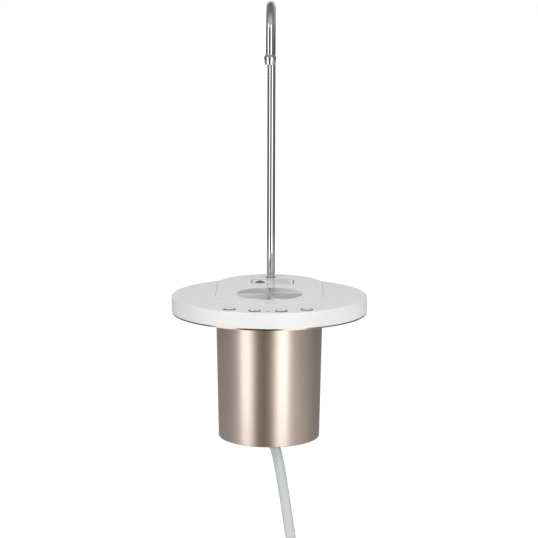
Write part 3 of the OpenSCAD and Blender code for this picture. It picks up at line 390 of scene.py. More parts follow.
def inside_r(z):
    """The column's inner radius at a height."""
    return column_r(z) - COLUMN_WALL


column_outline = rounded(
    [
        [inside_r(0), 0.0], [column_r(0), 0.0], [COLUMN_TOP_R, COLUMN_H],
        [COLUMN_TOP_R - COLUMN_WALL, COLUMN_H], [inside_r(LEDGE_TOP), LEDGE_TOP],
        [inside_r(LEDGE_TOP) - LEDGE_W, LEDGE_TOP], [inside_r(LEDGE_FOOT) - LEDGE_W, LEDGE_FOOT],
        [inside_r(LEDGE_FOOT), LEDGE_FOOT],
    ],
    [0.5, 0.9, 0.2, 0.2, 0.3, 0.4, 0.4, 0.3],
    steps=8,
)
column = turned("column", column_outline, sides=256, crease=60)
dress(column, "body", "champagne_lacquer", "housing_shell")

# %% [markdown]
# ## The steel plate for a cup
#
# A turned disc of steel lies in a shallow recess of the lid. Its finish is cut on a lathe, so it has
# fine rings, and rings stretch a highlight into spokes; here those spokes are painted highlights and a
# painted dark reflection in its colour. Radial rows of points give the mesh a UV map whose first direction
# runs round the disc: the finish uses it to know which way the rings run.

# %% Turn the cup plate
DISC_Y, DISC_R, DISC_TOP, DISC_T = 6.0, 31.0, TOP + PROUD, 1.2
DISC_EASE, DISC_RIM, DISC_ROWS = 0.1, 0.5, 40
plate_rows = np.linspace(0, DISC_R - DISC_RIM, DISC_ROWS)
plate_top = np.column_stack([plate_rows, np.full(DISC_ROWS, DISC_TOP)])
edge_curve = np.linspace(0, np.pi / 2, 6)[1:]
plate_edge = np.column_stack([
    DISC_R - DISC_EASE + DISC_EASE * np.sin(edge_curve),
    DISC_TOP - DISC_EASE + DISC_EASE * np.cos(edge_curve),
])
plate_foot = [[DISC_R, DISC_TOP - DISC_T], [0.0, DISC_TOP - DISC_T]]
cup_plate = turned("cup_plate", np.vstack([plate_top, plate_edge, plate_foot]), (0, DISC_Y), sides=180)
dress(cup_plate, "body", "brushed_steel", "cup_disc")

# %% [markdown]
# ## The buttons
#
# Four round caps stand half a millimetre proud of the tray, on an arc that follows its rim. Each is a
# turned moulding: a slightly dished face for the finger, an eased edge, a flange that keeps it in the
# tray and a stem that presses the pad below. They are the same shape, so one outline serves all four,
# and each rides on its own body so that it can be pressed.

# %% Turn the buttons
BUTTON_R, FLANGE_R, STEM_R = 5.5, 6.8, 3.5
BUTTON_ARC, BUTTON_PITCH = 81.0, 17.0
CAP_PROUD, FLANGE_Z, FLANGE_T, STEM_Z = 0.5, 131.9, 1.1, 131.0
DISH, DISH_RIM = 0.15, 0.8
CAP_TOP, DISH_R = TOP + CAP_PROUD, BUTTON_R - DISH_RIM
# How far in over a cap's face the painted shade of the gap round it reaches.
GAP_SHADE_W = 1.5


def dish_z(r):
    """The height of a cap's face: DISH lower at the middle, and level with the top at DISH_R."""
    return CAP_TOP - DISH * np.cos(np.pi / 2 * r / DISH_R) ** 2


dish_rows = np.linspace(0, DISH_R, 16)
cap_edge = rounded(
    [
        [BUTTON_R, CAP_TOP], [BUTTON_R, FLANGE_Z + FLANGE_T], [FLANGE_R, FLANGE_Z + FLANGE_T],
        [FLANGE_R, FLANGE_Z], [STEM_R, FLANGE_Z], [STEM_R, STEM_Z], [0.0, STEM_Z],
    ],
    [0.45, 0.1, 0.15, 0.15, 0.1, 0.1, 0.0],
)
cap_outline = np.vstack([np.column_stack([dish_rows, dish_z(dish_rows)]), cap_edge])
# The share along a cap's outline at which the painted gap shade begins.
GAP_SHADE_START = (BUTTON_R - GAP_SHADE_W) / DISH_R * (len(dish_rows) - 1) / len(cap_outline)
button_names = ["left_outer", "left_inner", "right_inner", "right_outer"]
button_angles = np.radians(BUTTON_PITCH * np.array([-1.5, -0.5, 0.5, 1.5]))
button_spots = BUTTON_ARC * np.column_stack([np.sin(button_angles), -np.cos(button_angles)])
for name, spot in zip(button_names, button_spots):
    cap = turned(f"cap_{name}", cap_outline, spot, sides=96)
    dress(cap, f"{name}_button", "white_plastic", f"button_{name}")

# %% [markdown]
# ## Marks on the caps and on the lid
#
# Each cap carries a small grey sign, and the lid a thin frame in front of the spout. A printed sign is a
# layer of ink a few hundredths of a millimetre thick. It could be painted in a texture, but a texture
# needs an image. Here each line of ink is a flat band carried along its path, so it stays crisp close up.
# The signs are plain ones: a drop, a larger drop, a cup and a switch, with a drop and waves in the frame.

# %% Helpers for printed lines
INK = 0.03


def height_of(base, points):
    """The height of a base below points: a number where it is flat, or else a function of them."""
    return base(points) if callable(base) else np.full(len(points), base)


def band(path, width, base, closed=False):
    """A thin flat band along a path in the plane.

    Across the path go four points: the band's two lower and two upper edges. On an open path the width
    falls to nothing along a half circle at both ends.
    """
    path = np.asarray(path, float)
    if closed:
        step = np.roll(path, -1, 0) - np.roll(path, 1, 0)
        half = np.full(len(path), width / 2)
    else:
        step = np.gradient(path, axis=0)
        run = run_along(path)
        left = np.minimum(run, run[-1] - run) / (width / 2)
        half = width / 2 * np.sqrt(np.clip(1 - np.clip(1 - left, 0, 1) ** 2, 0, 1))
    side = unit(np.column_stack([step[:, 1], -step[:, 0]]))
    low, high = height_of(base, path) - INK, height_of(base, path) + INK
    inner, outer = path - half[:, None] * side, path + half[:, None] * side
    edges = (inner, low), (outer, low), (outer, high), (inner, high)
    rows = [np.column_stack([points, z]) for points, z in edges]
    return grid_mesh("band", MM * np.stack(rows, 1), closed, True)


def blob(outline, base):
    """A filled sign: its outline shrunk towards its middle in steps, from the rim to one point."""
    outline = np.asarray(outline, float)
    middle = outline.mean(0)
    share = np.array([0.0, 0.5, 1.0, 1.0, 0.0])
    lift = np.array([INK, INK, INK, -INK, -INK])
    flat = middle + share[None, :, None] * (outline[:, None] - middle)
    under = height_of(base, flat.reshape(-1, 2)).reshape(flat.shape[:2])
    return grid_mesh("blob", MM * np.dstack([flat, under + lift]), True, False)


def circle(centre, r, start=0.0, end=TURN, count=48, closed=True):
    """Points on a circle, or on an arc of it."""
    angle = np.linspace(start, end, count, endpoint=not closed)
    return np.asarray(centre) + r * np.column_stack([np.cos(angle), np.sin(angle)])


def drop_outline(centre, r, count=48):
    """A drop with its point up: x = 1.15 r sin t sin(t/2)^1.6, y = 1.25 r cos t."""
    t = np.linspace(0, TURN, count, endpoint=False)
    wide, tall = 1.15 * np.sin(t) * np.sin(t / 2) ** 1.6, 1.25 * np.cos(t)
    return np.asarray(centre) + r * np.column_stack([wide, tall])


# %% [markdown]
# ### The signs
#
# A sign lies on its cap's dished face, so the face's height is asked for at every point of each line. The
# signs ride on the same bodies as their caps and go down with them.


# %% Print the signs on the caps
def cap_face(spot):
    """A function that gives the height of the cap's dished face at points of the plane."""
    def height(points):
        return dish_z(np.minimum(np.linalg.norm(points - spot, axis=1), DISH_R))
    return height


LINE = 0.34
CUP = np.array([[-1.9, 1.7], [-1.45, -1.9], [1.45, -1.9], [1.9, 1.7]])
SWITCH_START, SWITCH_END = np.radians(125), np.radians(415)
for name, spot in zip(button_names, button_spots):
    face = cap_face(spot)
    if name == "left_outer":
        cup = np.vstack([spot + np.linspace(a, b, 12) for a, b in zip(CUP[:-1], CUP[1:])])
        level = np.linspace(spot + [-1.5, 0.2], spot + [1.5, 0.2], 12)
        signs = [band(cup, LINE, face), band(level, LINE, face)]
    elif name == "left_inner":
        signs = [blob(drop_outline(spot, 1.5), face)]
    elif name == "right_inner":
        signs = [band(drop_outline(spot, 2.1), LINE, face, closed=True)]
    else:
        arc = circle(spot, 1.9, SWITCH_START, SWITCH_END, 40, closed=False)
        stem = np.linspace(spot + [0, 0.5], spot + [0, 2.4], 10)
        signs = [band(arc, LINE, face), band(stem, LINE, face)]
    sign = piece_from(f"sign_{name}", signs)
    dress(sign, f"{name}_button", "grey_plastic")

# %% [markdown]
# ### The frame
#
# The frame on the lid is a rounded rectangle. In it are one filled drop on the left and three rows of
# waves on the right. The lid is flat here, so one height serves every line.

# %% Print the frame on the lid
FRAME_W, FRAME_H, FRAME_X, FRAME_Y, FRAME_CORNER = 40.7, 25.0, 2.1, 71.5, 4.0
FRAME_LINE, WAVE_LINE = 1.0, 0.9
FRAME_DROP_X, FRAME_DROP_R = FRAME_X - 12.4, 6.4
WAVE_START, WAVE_END, WAVE_LENGTH, WAVE_RISE, WAVE_PITCH = -2.5, 17.0, 6.5, 1.0, 5.5
corners = np.array([[-1, -1], [1, -1], [1, 1], [-1, 1]]) * [FRAME_W / 2, FRAME_H / 2]
frame_path = rounded(corners + [FRAME_X, FRAME_Y], FRAME_CORNER, steps=10)
frame_marks = [
    band(frame_path, FRAME_LINE, TOP, closed=True),
    blob(drop_outline((FRAME_DROP_X, FRAME_Y), FRAME_DROP_R), TOP),
]
wave_x = np.linspace(WAVE_START, WAVE_END, 60)
wave_y = WAVE_RISE * np.sin(TURN * (wave_x - WAVE_START) / WAVE_LENGTH)
for row in (-1, 0, 1):
    wave = np.column_stack([FRAME_X + wave_x, FRAME_Y + row * WAVE_PITCH + wave_y])
    frame_marks.append(band(wave, WAVE_LINE, TOP))
dress(piece_from("lid_marks", frame_marks), "body", "grey_plastic")

# %% [markdown]
# ## The lid's edge
#
# The lid drops into the tray with a hair's gap, and a moulded bead a third of a millimetre high runs along
# its edge. Seen from the front it is a fine light line, because its front faces the lamps while the lid
# faces the ceiling. A bevel on the solid would change the CAD mesh, so a small half-round section is
# carried along the lid's outline instead: a half circle in front and the two straight sides.


# %% Draw the bead
BEAD_R, LOBE_Y, BEAD_W, BEAD_H = 50.3, 65.5, 0.8, 0.35
BEAD_SINK = 0.02


def bead(name, path, width, height, z):
    """A half-round bead along a path in the plane.

    Across each point goes half an ellipse, width/2 cos s aside and height sin s up. Both shrink to nothing
    at the path's ends, as the square root of the distance left.
    """
    step = np.gradient(path, axis=0)
    side = unit(np.column_stack([step[:, 1], -step[:, 0]]))
    run = run_along(path)
    swell = np.sqrt(np.clip(np.minimum(run, run[-1] - run) / width, 0, 1))[:, None]
    s = np.linspace(0, np.pi, 9)
    flat = path[:, None] + (swell * np.cos(s) * width / 2)[..., None] * side[:, None]
    up = z + swell * np.sin(s) * height - BEAD_SINK
    return piece_from(name, [grid_mesh(name, MM * np.dstack([flat, up]), False, True)])


front_arc = circle((0, 0), BEAD_R, np.pi, TURN, 120, closed=False)
side_run = np.linspace([BEAD_R, 0], [BEAD_R, LOBE_Y], 24)[1:]
bead_path = np.vstack([side_run[::-1] * [-1, 1], front_arc, side_run])
lid_edge = bead("lid_edge", bead_path, BEAD_W, BEAD_H, TOP)
dress(lid_edge, "body", "white_plastic")

# %% [markdown]
# ## Effects that several finishes share
#
# Mouldings, lacquer and steel all have a fine grain, and all are touched by hands. Each of these effects
# is one node group with its own inputs, placed with a material's own values in each material that shows
# it: grain in every one, smudges in the white mouldings and tool lines on the cup plate. A group only puts
# out what changes over the surface. Plain values stay on the shader's own sockets. A few helpers come
# first, because placing nodes one by one would fill pages.


# %% Helpers that place nodes
def place(tree, kind, settings=None, **links):
    """A new node with settings, and links or values for its inputs.

    An input is named with underscores for spaces, or by its number, such as n0 for the first.
    """
    node = tree.nodes.new(kind)
    for key, value in (settings or {}).items():
        setattr(node, key, value)
    for key, value in links.items():
        numbered = key[0] == "n" and key[1:].isdigit()
        socket = node.inputs[int(key[1:]) if numbered else key.replace("_", " ")]
        if isinstance(value, bpy.types.NodeSocket):
            tree.links.new(value, socket)
        else:
            socket.default_value = value
    return node


def calculate(tree, operation, *values):
    """The result of a Math node with these inputs."""
    inputs = {f"n{i}": value for i, value in enumerate(values)}
    return place(tree, "ShaderNodeMath", {"operation": operation}, **inputs).outputs[0]


def scale(tree, colour, factor):
    """A colour or vector multiplied by a number."""
    node = place(tree, "ShaderNodeVectorMath", {"operation": "SCALE"}, n0=colour, Scale=factor)
    return node.outputs[0]


def mix(tree, share, first, second):
    """A number that goes from first to second as share goes from 0 to 1."""
    node = place(tree, "ShaderNodeMix", {"data_type": "FLOAT"}, n0=share, n2=first, n3=second)
    return node.outputs[0]


def remap(tree, value, low, high):
    """A value from 0 to 1 carried to the span from low to high."""
    return place(tree, "ShaderNodeMapRange", n0=value, n3=low, n4=high).outputs[0]


def smooth_step(tree, value, start, end, low, high):
    """A value carried smoothly from low to high while it goes from start to end."""
    node = place(
        tree, "ShaderNodeMapRange", {"interpolation_type": "SMOOTHSTEP"},
        n0=value, n1=start, n2=end, n3=low, n4=high,
    )
    return node.outputs[0]


# %% [markdown]
# ### Grain
#
# A moulding takes a fine grain from its mould, and lacquer has one from its flake. An image of grain
# would have to be fitted to each piece. Noise in Object coordinates has one size on every piece, and a
# broad noise mixed into it keeps large faces from looking too even.

# %% Build the grain group
NUMBER, COLOUR = "NodeSocketFloat", "NodeSocketColor"
BROAD_PER_METRE, BROAD_SHARE = 18.0, 0.4


def new_group(name, inputs, outputs):
    """An empty shader node group with named inputs and outputs, and its two end nodes."""
    group = bpy.data.node_groups.new(name, "ShaderNodeTree")
    for label, kind, value in inputs:
        socket = group.interface.new_socket(label, in_out="INPUT", socket_type=kind)
        socket.default_value = value
    for label, kind in outputs:
        group.interface.new_socket(label, in_out="OUTPUT", socket_type=kind)
    return group, group.nodes.new("NodeGroupInput"), group.nodes.new("NodeGroupOutput")


def moulded_grain():
    """Fine grain: noise in Object coordinates shifts the colour and the roughness and gives a height."""
    group, enter, leave = new_group(
        "moulded_grain",
        [
            ("Colour", COLOUR, (0.8, 0.8, 0.8, 1)), ("Per metre", NUMBER, 2500.0),
            ("Colour shift", NUMBER, 0.02), ("Roughness", NUMBER, 0.4), ("Roughness shift", NUMBER, 0.06),
        ],
        [("Colour", COLOUR), ("Roughness", NUMBER), ("Height", NUMBER)],
    )
    given = enter.outputs
    where = place(group, "ShaderNodeTexCoord").outputs["Object"]
    fine = place(group, "ShaderNodeTexNoise", Vector=where, Scale=given["Per metre"], Detail=2.0)
    broad = place(group, "ShaderNodeTexNoise", Vector=where, Scale=BROAD_PER_METRE, Detail=3.0)
    both = mix(group, BROAD_SHARE, fine.outputs[0], broad.outputs[0])
    centred = remap(group, both, -1.0, 1.0)
    level = calculate(group, "MULTIPLY_ADD", centred, given["Colour shift"], 1.0)
    rough = calculate(group, "MULTIPLY_ADD", centred, given["Roughness shift"], given["Roughness"])
    group.links.new(scale(group, given["Colour"], level), leave.inputs["Colour"])
    group.links.new(rough, leave.inputs["Roughness"])
    group.links.new(fine.outputs[0], leave.inputs["Height"])
    return group


GRAIN = moulded_grain()
print("nodes in the grain group:", len(GRAIN.nodes))

# %% [markdown]
# ### Smudges
#
# Hands leave a thin film that dulls the shine in patches. The patches could be painted one by one. A
# broad noise of which only the upper part shows gives them too, as a mask.


# %% Build the smudge group
def handling():
    """Smudges that hands leave: broad noise, cut so that only its upper part shows, as a mask."""
    group, enter, leave = new_group(
        "handling", [("Per metre", NUMBER, 45.0), ("Amount", NUMBER, 0.5)], [("Mask", NUMBER)]
    )
    where = place(group, "ShaderNodeTexCoord").outputs["Object"]
    broad = place(
        group, "ShaderNodeTexNoise", Vector=where, Scale=enter.outputs["Per metre"], Detail=4.0,
        Distortion=0.6,
    )
    cut = smooth_step(group, broad.outputs[0], 0.5, 0.75, 0.0, 1.0)
    mask = calculate(group, "MULTIPLY", cut, enter.outputs["Amount"])
    group.links.new(mask, leave.inputs["Mask"])
    return group


TOUCH = handling()
print("nodes in the smudge group:", len(TOUCH.nodes))

# %% [markdown]
# ### Tool lines
#
# A cutting tool leaves fine lines round a turned piece. Object coordinates don't know which way they run,
# but the grid does, so they come from its UV map: noise stretched far in one direction becomes lines.


# %% Build the group for tool lines
def tool_lines():
    """Lines that a tool leaves along a piece: noise stretched along one direction of the grid's UV map."""
    group, enter, leave = new_group(
        "tool_lines", [("Round", NUMBER, 1.0), ("Along", NUMBER, 300.0), ("Shift", NUMBER, 0.05)],
        [("Level", NUMBER), ("Height", NUMBER)],
    )
    where = place(group, "ShaderNodeUVMap", {"uv_map": "grid"}).outputs[0]
    stretch = place(group, "ShaderNodeCombineXYZ", X=enter.outputs["Round"], Y=enter.outputs["Along"])
    moved = place(
        group, "ShaderNodeVectorMath", {"operation": "MULTIPLY"}, n0=where, n1=stretch.outputs[0]
    )
    lines = place(group, "ShaderNodeTexNoise", Vector=moved.outputs[0], Scale=1.0, Detail=3.0)
    centred = remap(group, lines.outputs[0], -1.0, 1.0)
    level = calculate(group, "MULTIPLY_ADD", centred, enter.outputs["Shift"], 1.0)
    group.links.new(level, leave.inputs["Level"])
    group.links.new(lines.outputs[0], leave.inputs["Height"])
    return group


LINES = tool_lines()
print("node groups:", [g.name for g in bpy.data.node_groups])

# %% [markdown]
# ## Finishes
#
# The tray and the caps are satin white mouldings, with painted shade of the gap round each cap, and the lid
# is a glossier one. The column is lacquered: champagne metal flake under a clear coat. The plate under the
# tray is a smoother champagne, darkened as painted shade for the line under the tray's rim, the gooseneck
# is polished and the cup plate is turned, with painted spokes of highlight and reflection. The rest, mostly
# hidden, are plain engineering materials. One function starts every finish from the grain group, and the
# special ones add to it.

# %% Helpers that make a finish
BUMP_DEPTH = 0.02 * MM


def shader_of(finish):
    """A finish's node tree and its Principled shader."""
    return finish.node_tree, finish.node_tree.nodes["Principled BSDF"]


def source_of(shader, name):
    """The socket that feeds an input of a shader."""
    return shader.inputs[name].links[0].from_socket


def new_finish(name, colour, rough, grain, shift, rough_shift, bump=0.05, **plain):
    """A Principled finish on the grain group, which gives its colour, its roughness and a fine bump."""
    finish = bpy.data.materials.new(name)
    finish.use_nodes = True
    tree, shader = shader_of(finish)
    for socket, value in plain.items():
        shader.inputs[socket.replace("_", " ")].default_value = value
    group = place(
        tree, "ShaderNodeGroup", {"node_tree": GRAIN}, Colour=(*colour, 1.0), Per_metre=grain,
        Colour_shift=shift, Roughness=rough, Roughness_shift=rough_shift,
    )
    tree.links.new(group.outputs["Colour"], shader.inputs["Base Color"])
    tree.links.new(group.outputs["Roughness"], shader.inputs["Roughness"])
    bumps = place(
        tree, "ShaderNodeBump", Strength=bump, Distance=BUMP_DEPTH, Height=group.outputs["Height"]
    )
    tree.links.new(bumps.outputs[0], shader.inputs["Normal"])
    return finish


def add_touch(finish, amount, step):
    """Roughness rises by `step` where hands have been."""
    tree, shader = shader_of(finish)
    mask = place(tree, "ShaderNodeGroup", {"node_tree": TOUCH}, Amount=amount).outputs[0]
    rough = calculate(tree, "MULTIPLY_ADD", mask, step, source_of(shader, "Roughness"))
    tree.links.new(rough, shader.inputs["Roughness"])
    return finish


def add_lines(finish, round_count, along_count, shift, strength, depth):
    """Tool lines on a finish: they scale its colour and replace its bump."""
    tree, shader = shader_of(finish)
    lines = place(
        tree, "ShaderNodeGroup", {"node_tree": LINES}, Round=round_count, Along=along_count, Shift=shift
    )
    scaled = scale(tree, source_of(shader, "Base Color"), lines.outputs["Level"])
    tree.links.new(scaled, shader.inputs["Base Color"])
    bumps = place(
        tree, "ShaderNodeBump", Strength=strength, Distance=depth * MM, Height=lines.outputs["Height"]
    )
    tree.links.new(bumps.outputs[0], shader.inputs["Normal"])
    return finish


# %% [markdown]
# ### Painted spokes and painted gap shade
#
# The turned rings of the cup plate draw each lamp out into a spoke. Rings that fine would need millions
# of faces, so the spokes are painted highlights and a painted dark reflection in the plate's colour: a ramp
# gives the level for each direction, the same on both sides of the middle. Each cap is white, with painted
# shade of the gap round it: dark on its side and in a ring near the edge of its face. The grid's second
# share says where along the outline a point lies, so the painted shade begins at one value of it.

# %% Helpers for the painted spokes and the painted gap shade on the caps
# Levels of the painted spokes round the cup plate: bright painted highlights and the dark painted
# reflection line at front and back.
PAINTED_SPOKE_LEVELS = [
    (0.0, 0.5), (1.0, 0.5), (0.005, 0.6), (0.012, 1.0), (0.03, 1.3), (0.055, 1.35), (0.09, 1.1),
    (0.13, 0.95), (0.3, 0.82), (0.43, 0.74), (0.475, 0.62), (0.495, 0.9), (0.525, 1.2), (0.57, 1.2),
    (0.7, 1.1), (0.88, 1.05), (0.95, 1.15), (0.985, 1.0), (0.995, 0.6),
]
RAMP_TOP = 2.0
# The grey of the painted shade in the gap round each cap, and how softly it begins.
GAP_SHADE_GREY, GAP_SHADE_EASE = (0.14, 0.14, 0.145, 1), 0.002


def grid_share(tree, axis):
    """A point's share along one direction of its grid: X runs round the piece, Y along the outline."""
    shares = place(tree, "ShaderNodeUVMap", {"uv_map": "grid"}).outputs[0]
    return place(tree, "ShaderNodeSeparateXYZ", Vector=shares).outputs[axis]


def fill_ramp(ramp, stops):
    """Gives a ramp its stops, pairs of a position and a level or colour, divided by RAMP_TOP.

    A ramp begins with two stops, so the first two pairs move those. New stops are sorted in as they come.
    """
    marks = ramp.color_ramp.elements
    first, last = marks
    first.position, last.position = stops[0][0], stops[1][0]
    for position, _ in stops[2:]:
        marks.new(position)
    for mark in marks:
        level = min(stops, key=lambda stop: abs(stop[0] - mark.position))[1]
        mark.color = (*(np.broadcast_to(level, 3) / RAMP_TOP), 1.0)


def add_painted_spokes(finish):
    """Painted spokes on a turned plate: highlights and a dark reflection line in its colour, at a level
    that a ramp gives for the share of a half turn from the front.
    """
    tree, shader = shader_of(finish)
    half_turns = calculate(tree, "MULTIPLY_ADD", grid_share(tree, "X"), 2.0, 0.5)
    levels = place(tree, "ShaderNodeValToRGB", n0=calculate(tree, "FRACT", half_turns))
    fill_ramp(levels, PAINTED_SPOKE_LEVELS)
    painted_spoke_colour = place(
        tree, "ShaderNodeVectorMath", {"operation": "MULTIPLY"}, n0=source_of(shader, "Base Color"),
        n1=scale(tree, levels.outputs[0], RAMP_TOP),
    )
    tree.links.new(painted_spoke_colour.outputs[0], shader.inputs["Base Color"])
    return finish


def add_gap_shade(finish):
    """Painted shade of the gap round a cap: dark where the outline's share has passed the shade's start, on
    its side and in a ring on its face.
    """
    tree, shader = shader_of(finish)
    past = place(
        tree, "ShaderNodeMapRange", n0=grid_share(tree, "Y"), n1=GAP_SHADE_START - GAP_SHADE_EASE,
        n2=GAP_SHADE_START + GAP_SHADE_EASE,
    )
    gap_shaded = place(
        tree, "ShaderNodeMix", {"data_type": "RGBA"}, n0=past.outputs[0],
        n6=source_of(shader, "Base Color"), n7=GAP_SHADE_GREY,
    )
    tree.links.new(gap_shaded.outputs[2], shader.inputs["Base Color"])
    return finish


# %% [markdown]
# ### Mixing the finishes
#
# Each row gives a name, a colour, the roughness, the grain per metre, how far the grain shifts the colour
# and the roughness, the bump's strength, and any other sockets of the shader. The keys of the first table
# are the material slots of the CAD model. The four below it are for pieces that differ from their slot.

# %% Mix the finishes
SMUDGE, SMUDGE_STEP = 0.4, 0.03
satin_white = new_finish(
    "satin_white", (0.757, 0.757, 0.754), 0.42, 1800, 0.006, 0.02, 0.004, Specular_IOR_Level=0.35
)
finishes = {
    "white_plastic": add_touch(satin_white, SMUDGE, SMUDGE_STEP),
    "champagne_lacquer": new_finish(
        "champagne_flake", (0.385, 0.28, 0.213), 0.42, 900, 0.22, 0.04, 0.03, Metallic=1.0,
        Coat_Weight=1.0, Coat_Roughness=0.3, Coat_IOR=2.7,
    ),
    "polished_steel": new_finish(
        "polished_tube", (0.52, 0.522, 0.526), 0.05, 900, 0.02, 0.01, 0.001, Metallic=1.0
    ),
    "brushed_steel": new_finish(
        "turned_steel", (0.72, 0.72, 0.72), 0.34, 900, 0.02, 0.03, Metallic=1.0, Anisotropic=0.4,
        Anisotropic_Rotation=0.25,
    ),
    "zinc_screw": new_finish("zinc_plated", (0.62, 0.63, 0.65), 0.32, 1500, 0.05, 0.08, Metallic=1.0),
    "dark_rubber": new_finish("moulded_rubber", (0.035, 0.035, 0.037), 0.62, 1600, 0.15, 0.1, 0.15),
    "clear_silicone": new_finish(
        "silicone", (0.86, 0.885, 0.89), 0.26, 500, 0.012, 0.03, 0.0, Transmission_Weight=0.5, IOR=1.41
    ),
    "grey_plastic": new_finish("grey_moulding", (0.25, 0.255, 0.265), 0.5, 2000, 0.04, 0.06, 0.1),
    "black_plastic": new_finish("black_moulding", (0.03, 0.03, 0.032), 0.5, 2000, 0.1, 0.06, 0.1),
    "board_green": new_finish("solder_mask", (0.03, 0.16, 0.07), 0.3, 1200, 0.15, 0.05, 0.06),
    "copper": new_finish("copper_wire", (0.72, 0.34, 0.2), 0.3, 2200, 0.12, 0.08, 0.2, Metallic=1.0),
    "brass": new_finish("sintered_brass", (0.7, 0.55, 0.28), 0.42, 3500, 0.12, 0.08, 0.2, Metallic=1.0),
    "magnet": new_finish("sintered_magnet", (0.05, 0.05, 0.052), 0.55, 2600, 0.2, 0.1, 0.2),
    "carbon": new_finish("pressed_carbon", (0.02, 0.02, 0.02), 0.5, 2600, 0.2, 0.1, 0.15),
    "motor_steel": new_finish("drawn_steel", (0.5, 0.51, 0.52), 0.34, 1500, 0.06, 0.08, 0.05, Metallic=1.0),
    "cell_sleeve": new_finish("shrink_sleeve", (0.04, 0.14, 0.36), 0.25, 800, 0.08, 0.06, 0.05),
    "lead_red": new_finish("lead_insulation", (0.42, 0.015, 0.012), 0.4, 1600, 0.08, 0.06, 0.05),
    "lens": new_finish(
        "smoked_lens", (0.2, 0.205, 0.215), 0.2, 800, 0.02, 0.03, 0.02, Transmission_Weight=0.3
    ),
}
# The cup plate's colour carries the painted spokes of highlight and reflection.
add_painted_spokes(add_lines(finishes["brushed_steel"], 7.0, 900.0, 0.05, 0.04, 0.005))

# A darker, smoother copy of the champagne for the plate under the tray; the darkening is painted shade for
# the line under the tray's rim.
shaded_base_finish = new_finish("champagne_base_shaded", (0.3, 0.25, 0.21), 0.2, 900, 0.07, 0.04, 0.01, Metallic=1.0)
lid_finish = new_finish(
    "gloss_white", (0.737, 0.737, 0.734), 0.22, 1800, 0.006, 0.02, 0.003, Specular_IOR_Level=0.3
)
add_touch(lid_finish, SMUDGE, SMUDGE_STEP)
# The caps' finish is white with painted shade of the gap round each cap.
shaded_cap_finish = add_gap_shade(new_finish("ringed_cap", (0.86, 0.86, 0.857), 0.36, 1800, 0.006, 0.02, 0.004))
ink_finish = new_finish("printed_ink", (0.06, 0.06, 0.065), 0.45, 3000, 0.1, 0.05, 0.05)
print("finishes:", len(bpy.data.materials))

# %% [markdown]
# ### Giving out the finishes
#
# A CAD solid gets the finish of its slot, apart from the plate under the tray, whose darker champagne is
# painted shade for the line under the rim, and the lid. A piece made here gets that of the slot it was
# dressed with, apart from the caps, whose finish has painted shade of their gap, and whatever is printed.

# %% Give each piece its finish
for part in frame["record"]["subparts"]:
    solid = nodes[part["node"]].data
    solid.materials.clear()
    solid.materials.append(finishes[part["material_slot"]])
# The plate under the tray gets the champagne darkened with painted shade.
nodes["tray_base"].data.materials[0] = shaded_base_finish
nodes["deck_lid"].data.materials[0] = lid_finish
for piece in list(bpy.context.scene.objects):
    if piece.type != "MESH" or "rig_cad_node" in piece:
        continue
    # Caps take the finish with the painted gap shade.
    if piece.name.startswith("cap_"):
        finish = shaded_cap_finish
    elif piece.name.startswith("sign_") or piece.name == "lid_marks":
        finish = ink_finish
    else:
        finish = finishes[piece["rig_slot"]]
    piece.data.materials.append(finish)
finished = [o for o in bpy.context.scene.objects if o.type == "MESH" and o.data.materials]
print("solids and pieces with a finish:", len(finished))

# %% [markdown]
# ## The studio
#
# Two tall soft boxes stand left and right of the camera, with a dark gap between them where the camera
# is. Their reflections are the two bright bands down the column and the thin stripes down the tube, and
# the painted reflection on the floor carries the bands lower. A box overhead and a small one at the side
# only fill, so they are hidden from glossy rays. A lamp's power follows from the radiance that it should
# show: radiance times pi times its area.


# %% Light the object
def soft_box(name, azimuth, reach, height, size, radiance, aim_z):
    """A rectangle lamp that faces a point on the pump's axis. Azimuth counts from the front."""
    lamp = bpy.data.lights.new(name, "AREA")
    lamp.shape = "RECTANGLE"
    lamp.size, lamp.size_y = size
    lamp.energy = radiance * np.pi * size[0] * size[1]
    holder = bpy.data.objects.new(name, lamp)
    bpy.context.scene.collection.objects.link(holder)
    angle = np.radians(azimuth)
    spot = np.array([reach * np.sin(angle), -reach * np.cos(angle), height])
    holder.location = spot
    line = unit(np.array([0, 0, aim_z]) - spot)
    holder.rotation_euler = (np.arccos(-line[2]), 0.0, np.arctan2(line[1], line[0]) - np.pi / 2)
    holder.visible_camera = False
    return holder


BOX_REACH, BOX_Z, BOX_SIZE, FILL_AIM = 0.95, 0.35, (0.48, 1.4), 0.1
soft_box("left_box", -48.5, BOX_REACH, BOX_Z, BOX_SIZE, 2.15, BOX_Z)
soft_box("right_box", 28.5, BOX_REACH, BOX_Z, BOX_SIZE, 2.4, BOX_Z)
side_fill = soft_box("side_fill", 80, 1.2, 0.3, (0.6, 0.6), 2.0, FILL_AIM)
overhead = soft_box("top_box", 0, 0.2, 2.2, (1.6, 1.6), 2.2, FILL_AIM)
for lamp in (side_fill, overhead):
    lamp.visible_glossy = False

# %% [markdown]
# ### The room
#
# Camera rays and see-through rays find plain white behind the object. It adds no light, because diffuse
# rays find a dim even room. Glossy rays find a graded one: dark behind the camera, grey at the sides, so
# that metal has dark edges, and lighter behind the object. Overhead it is brightest towards the front and
# a little darker straight ahead, which gives the tube's bend its soft change from light to dark.

# %% Make the world
WHITE = 1.0
DIFFUSE_ROOM = 0.38
FRONT_WALL, SIDE_WALL, BACK_WALL_MORE = 0.06, 0.33, 0.4
FRONT_CEILING, BACK_CEILING, MIDDLE_CEILING = 1.0, 0.32, 0.6


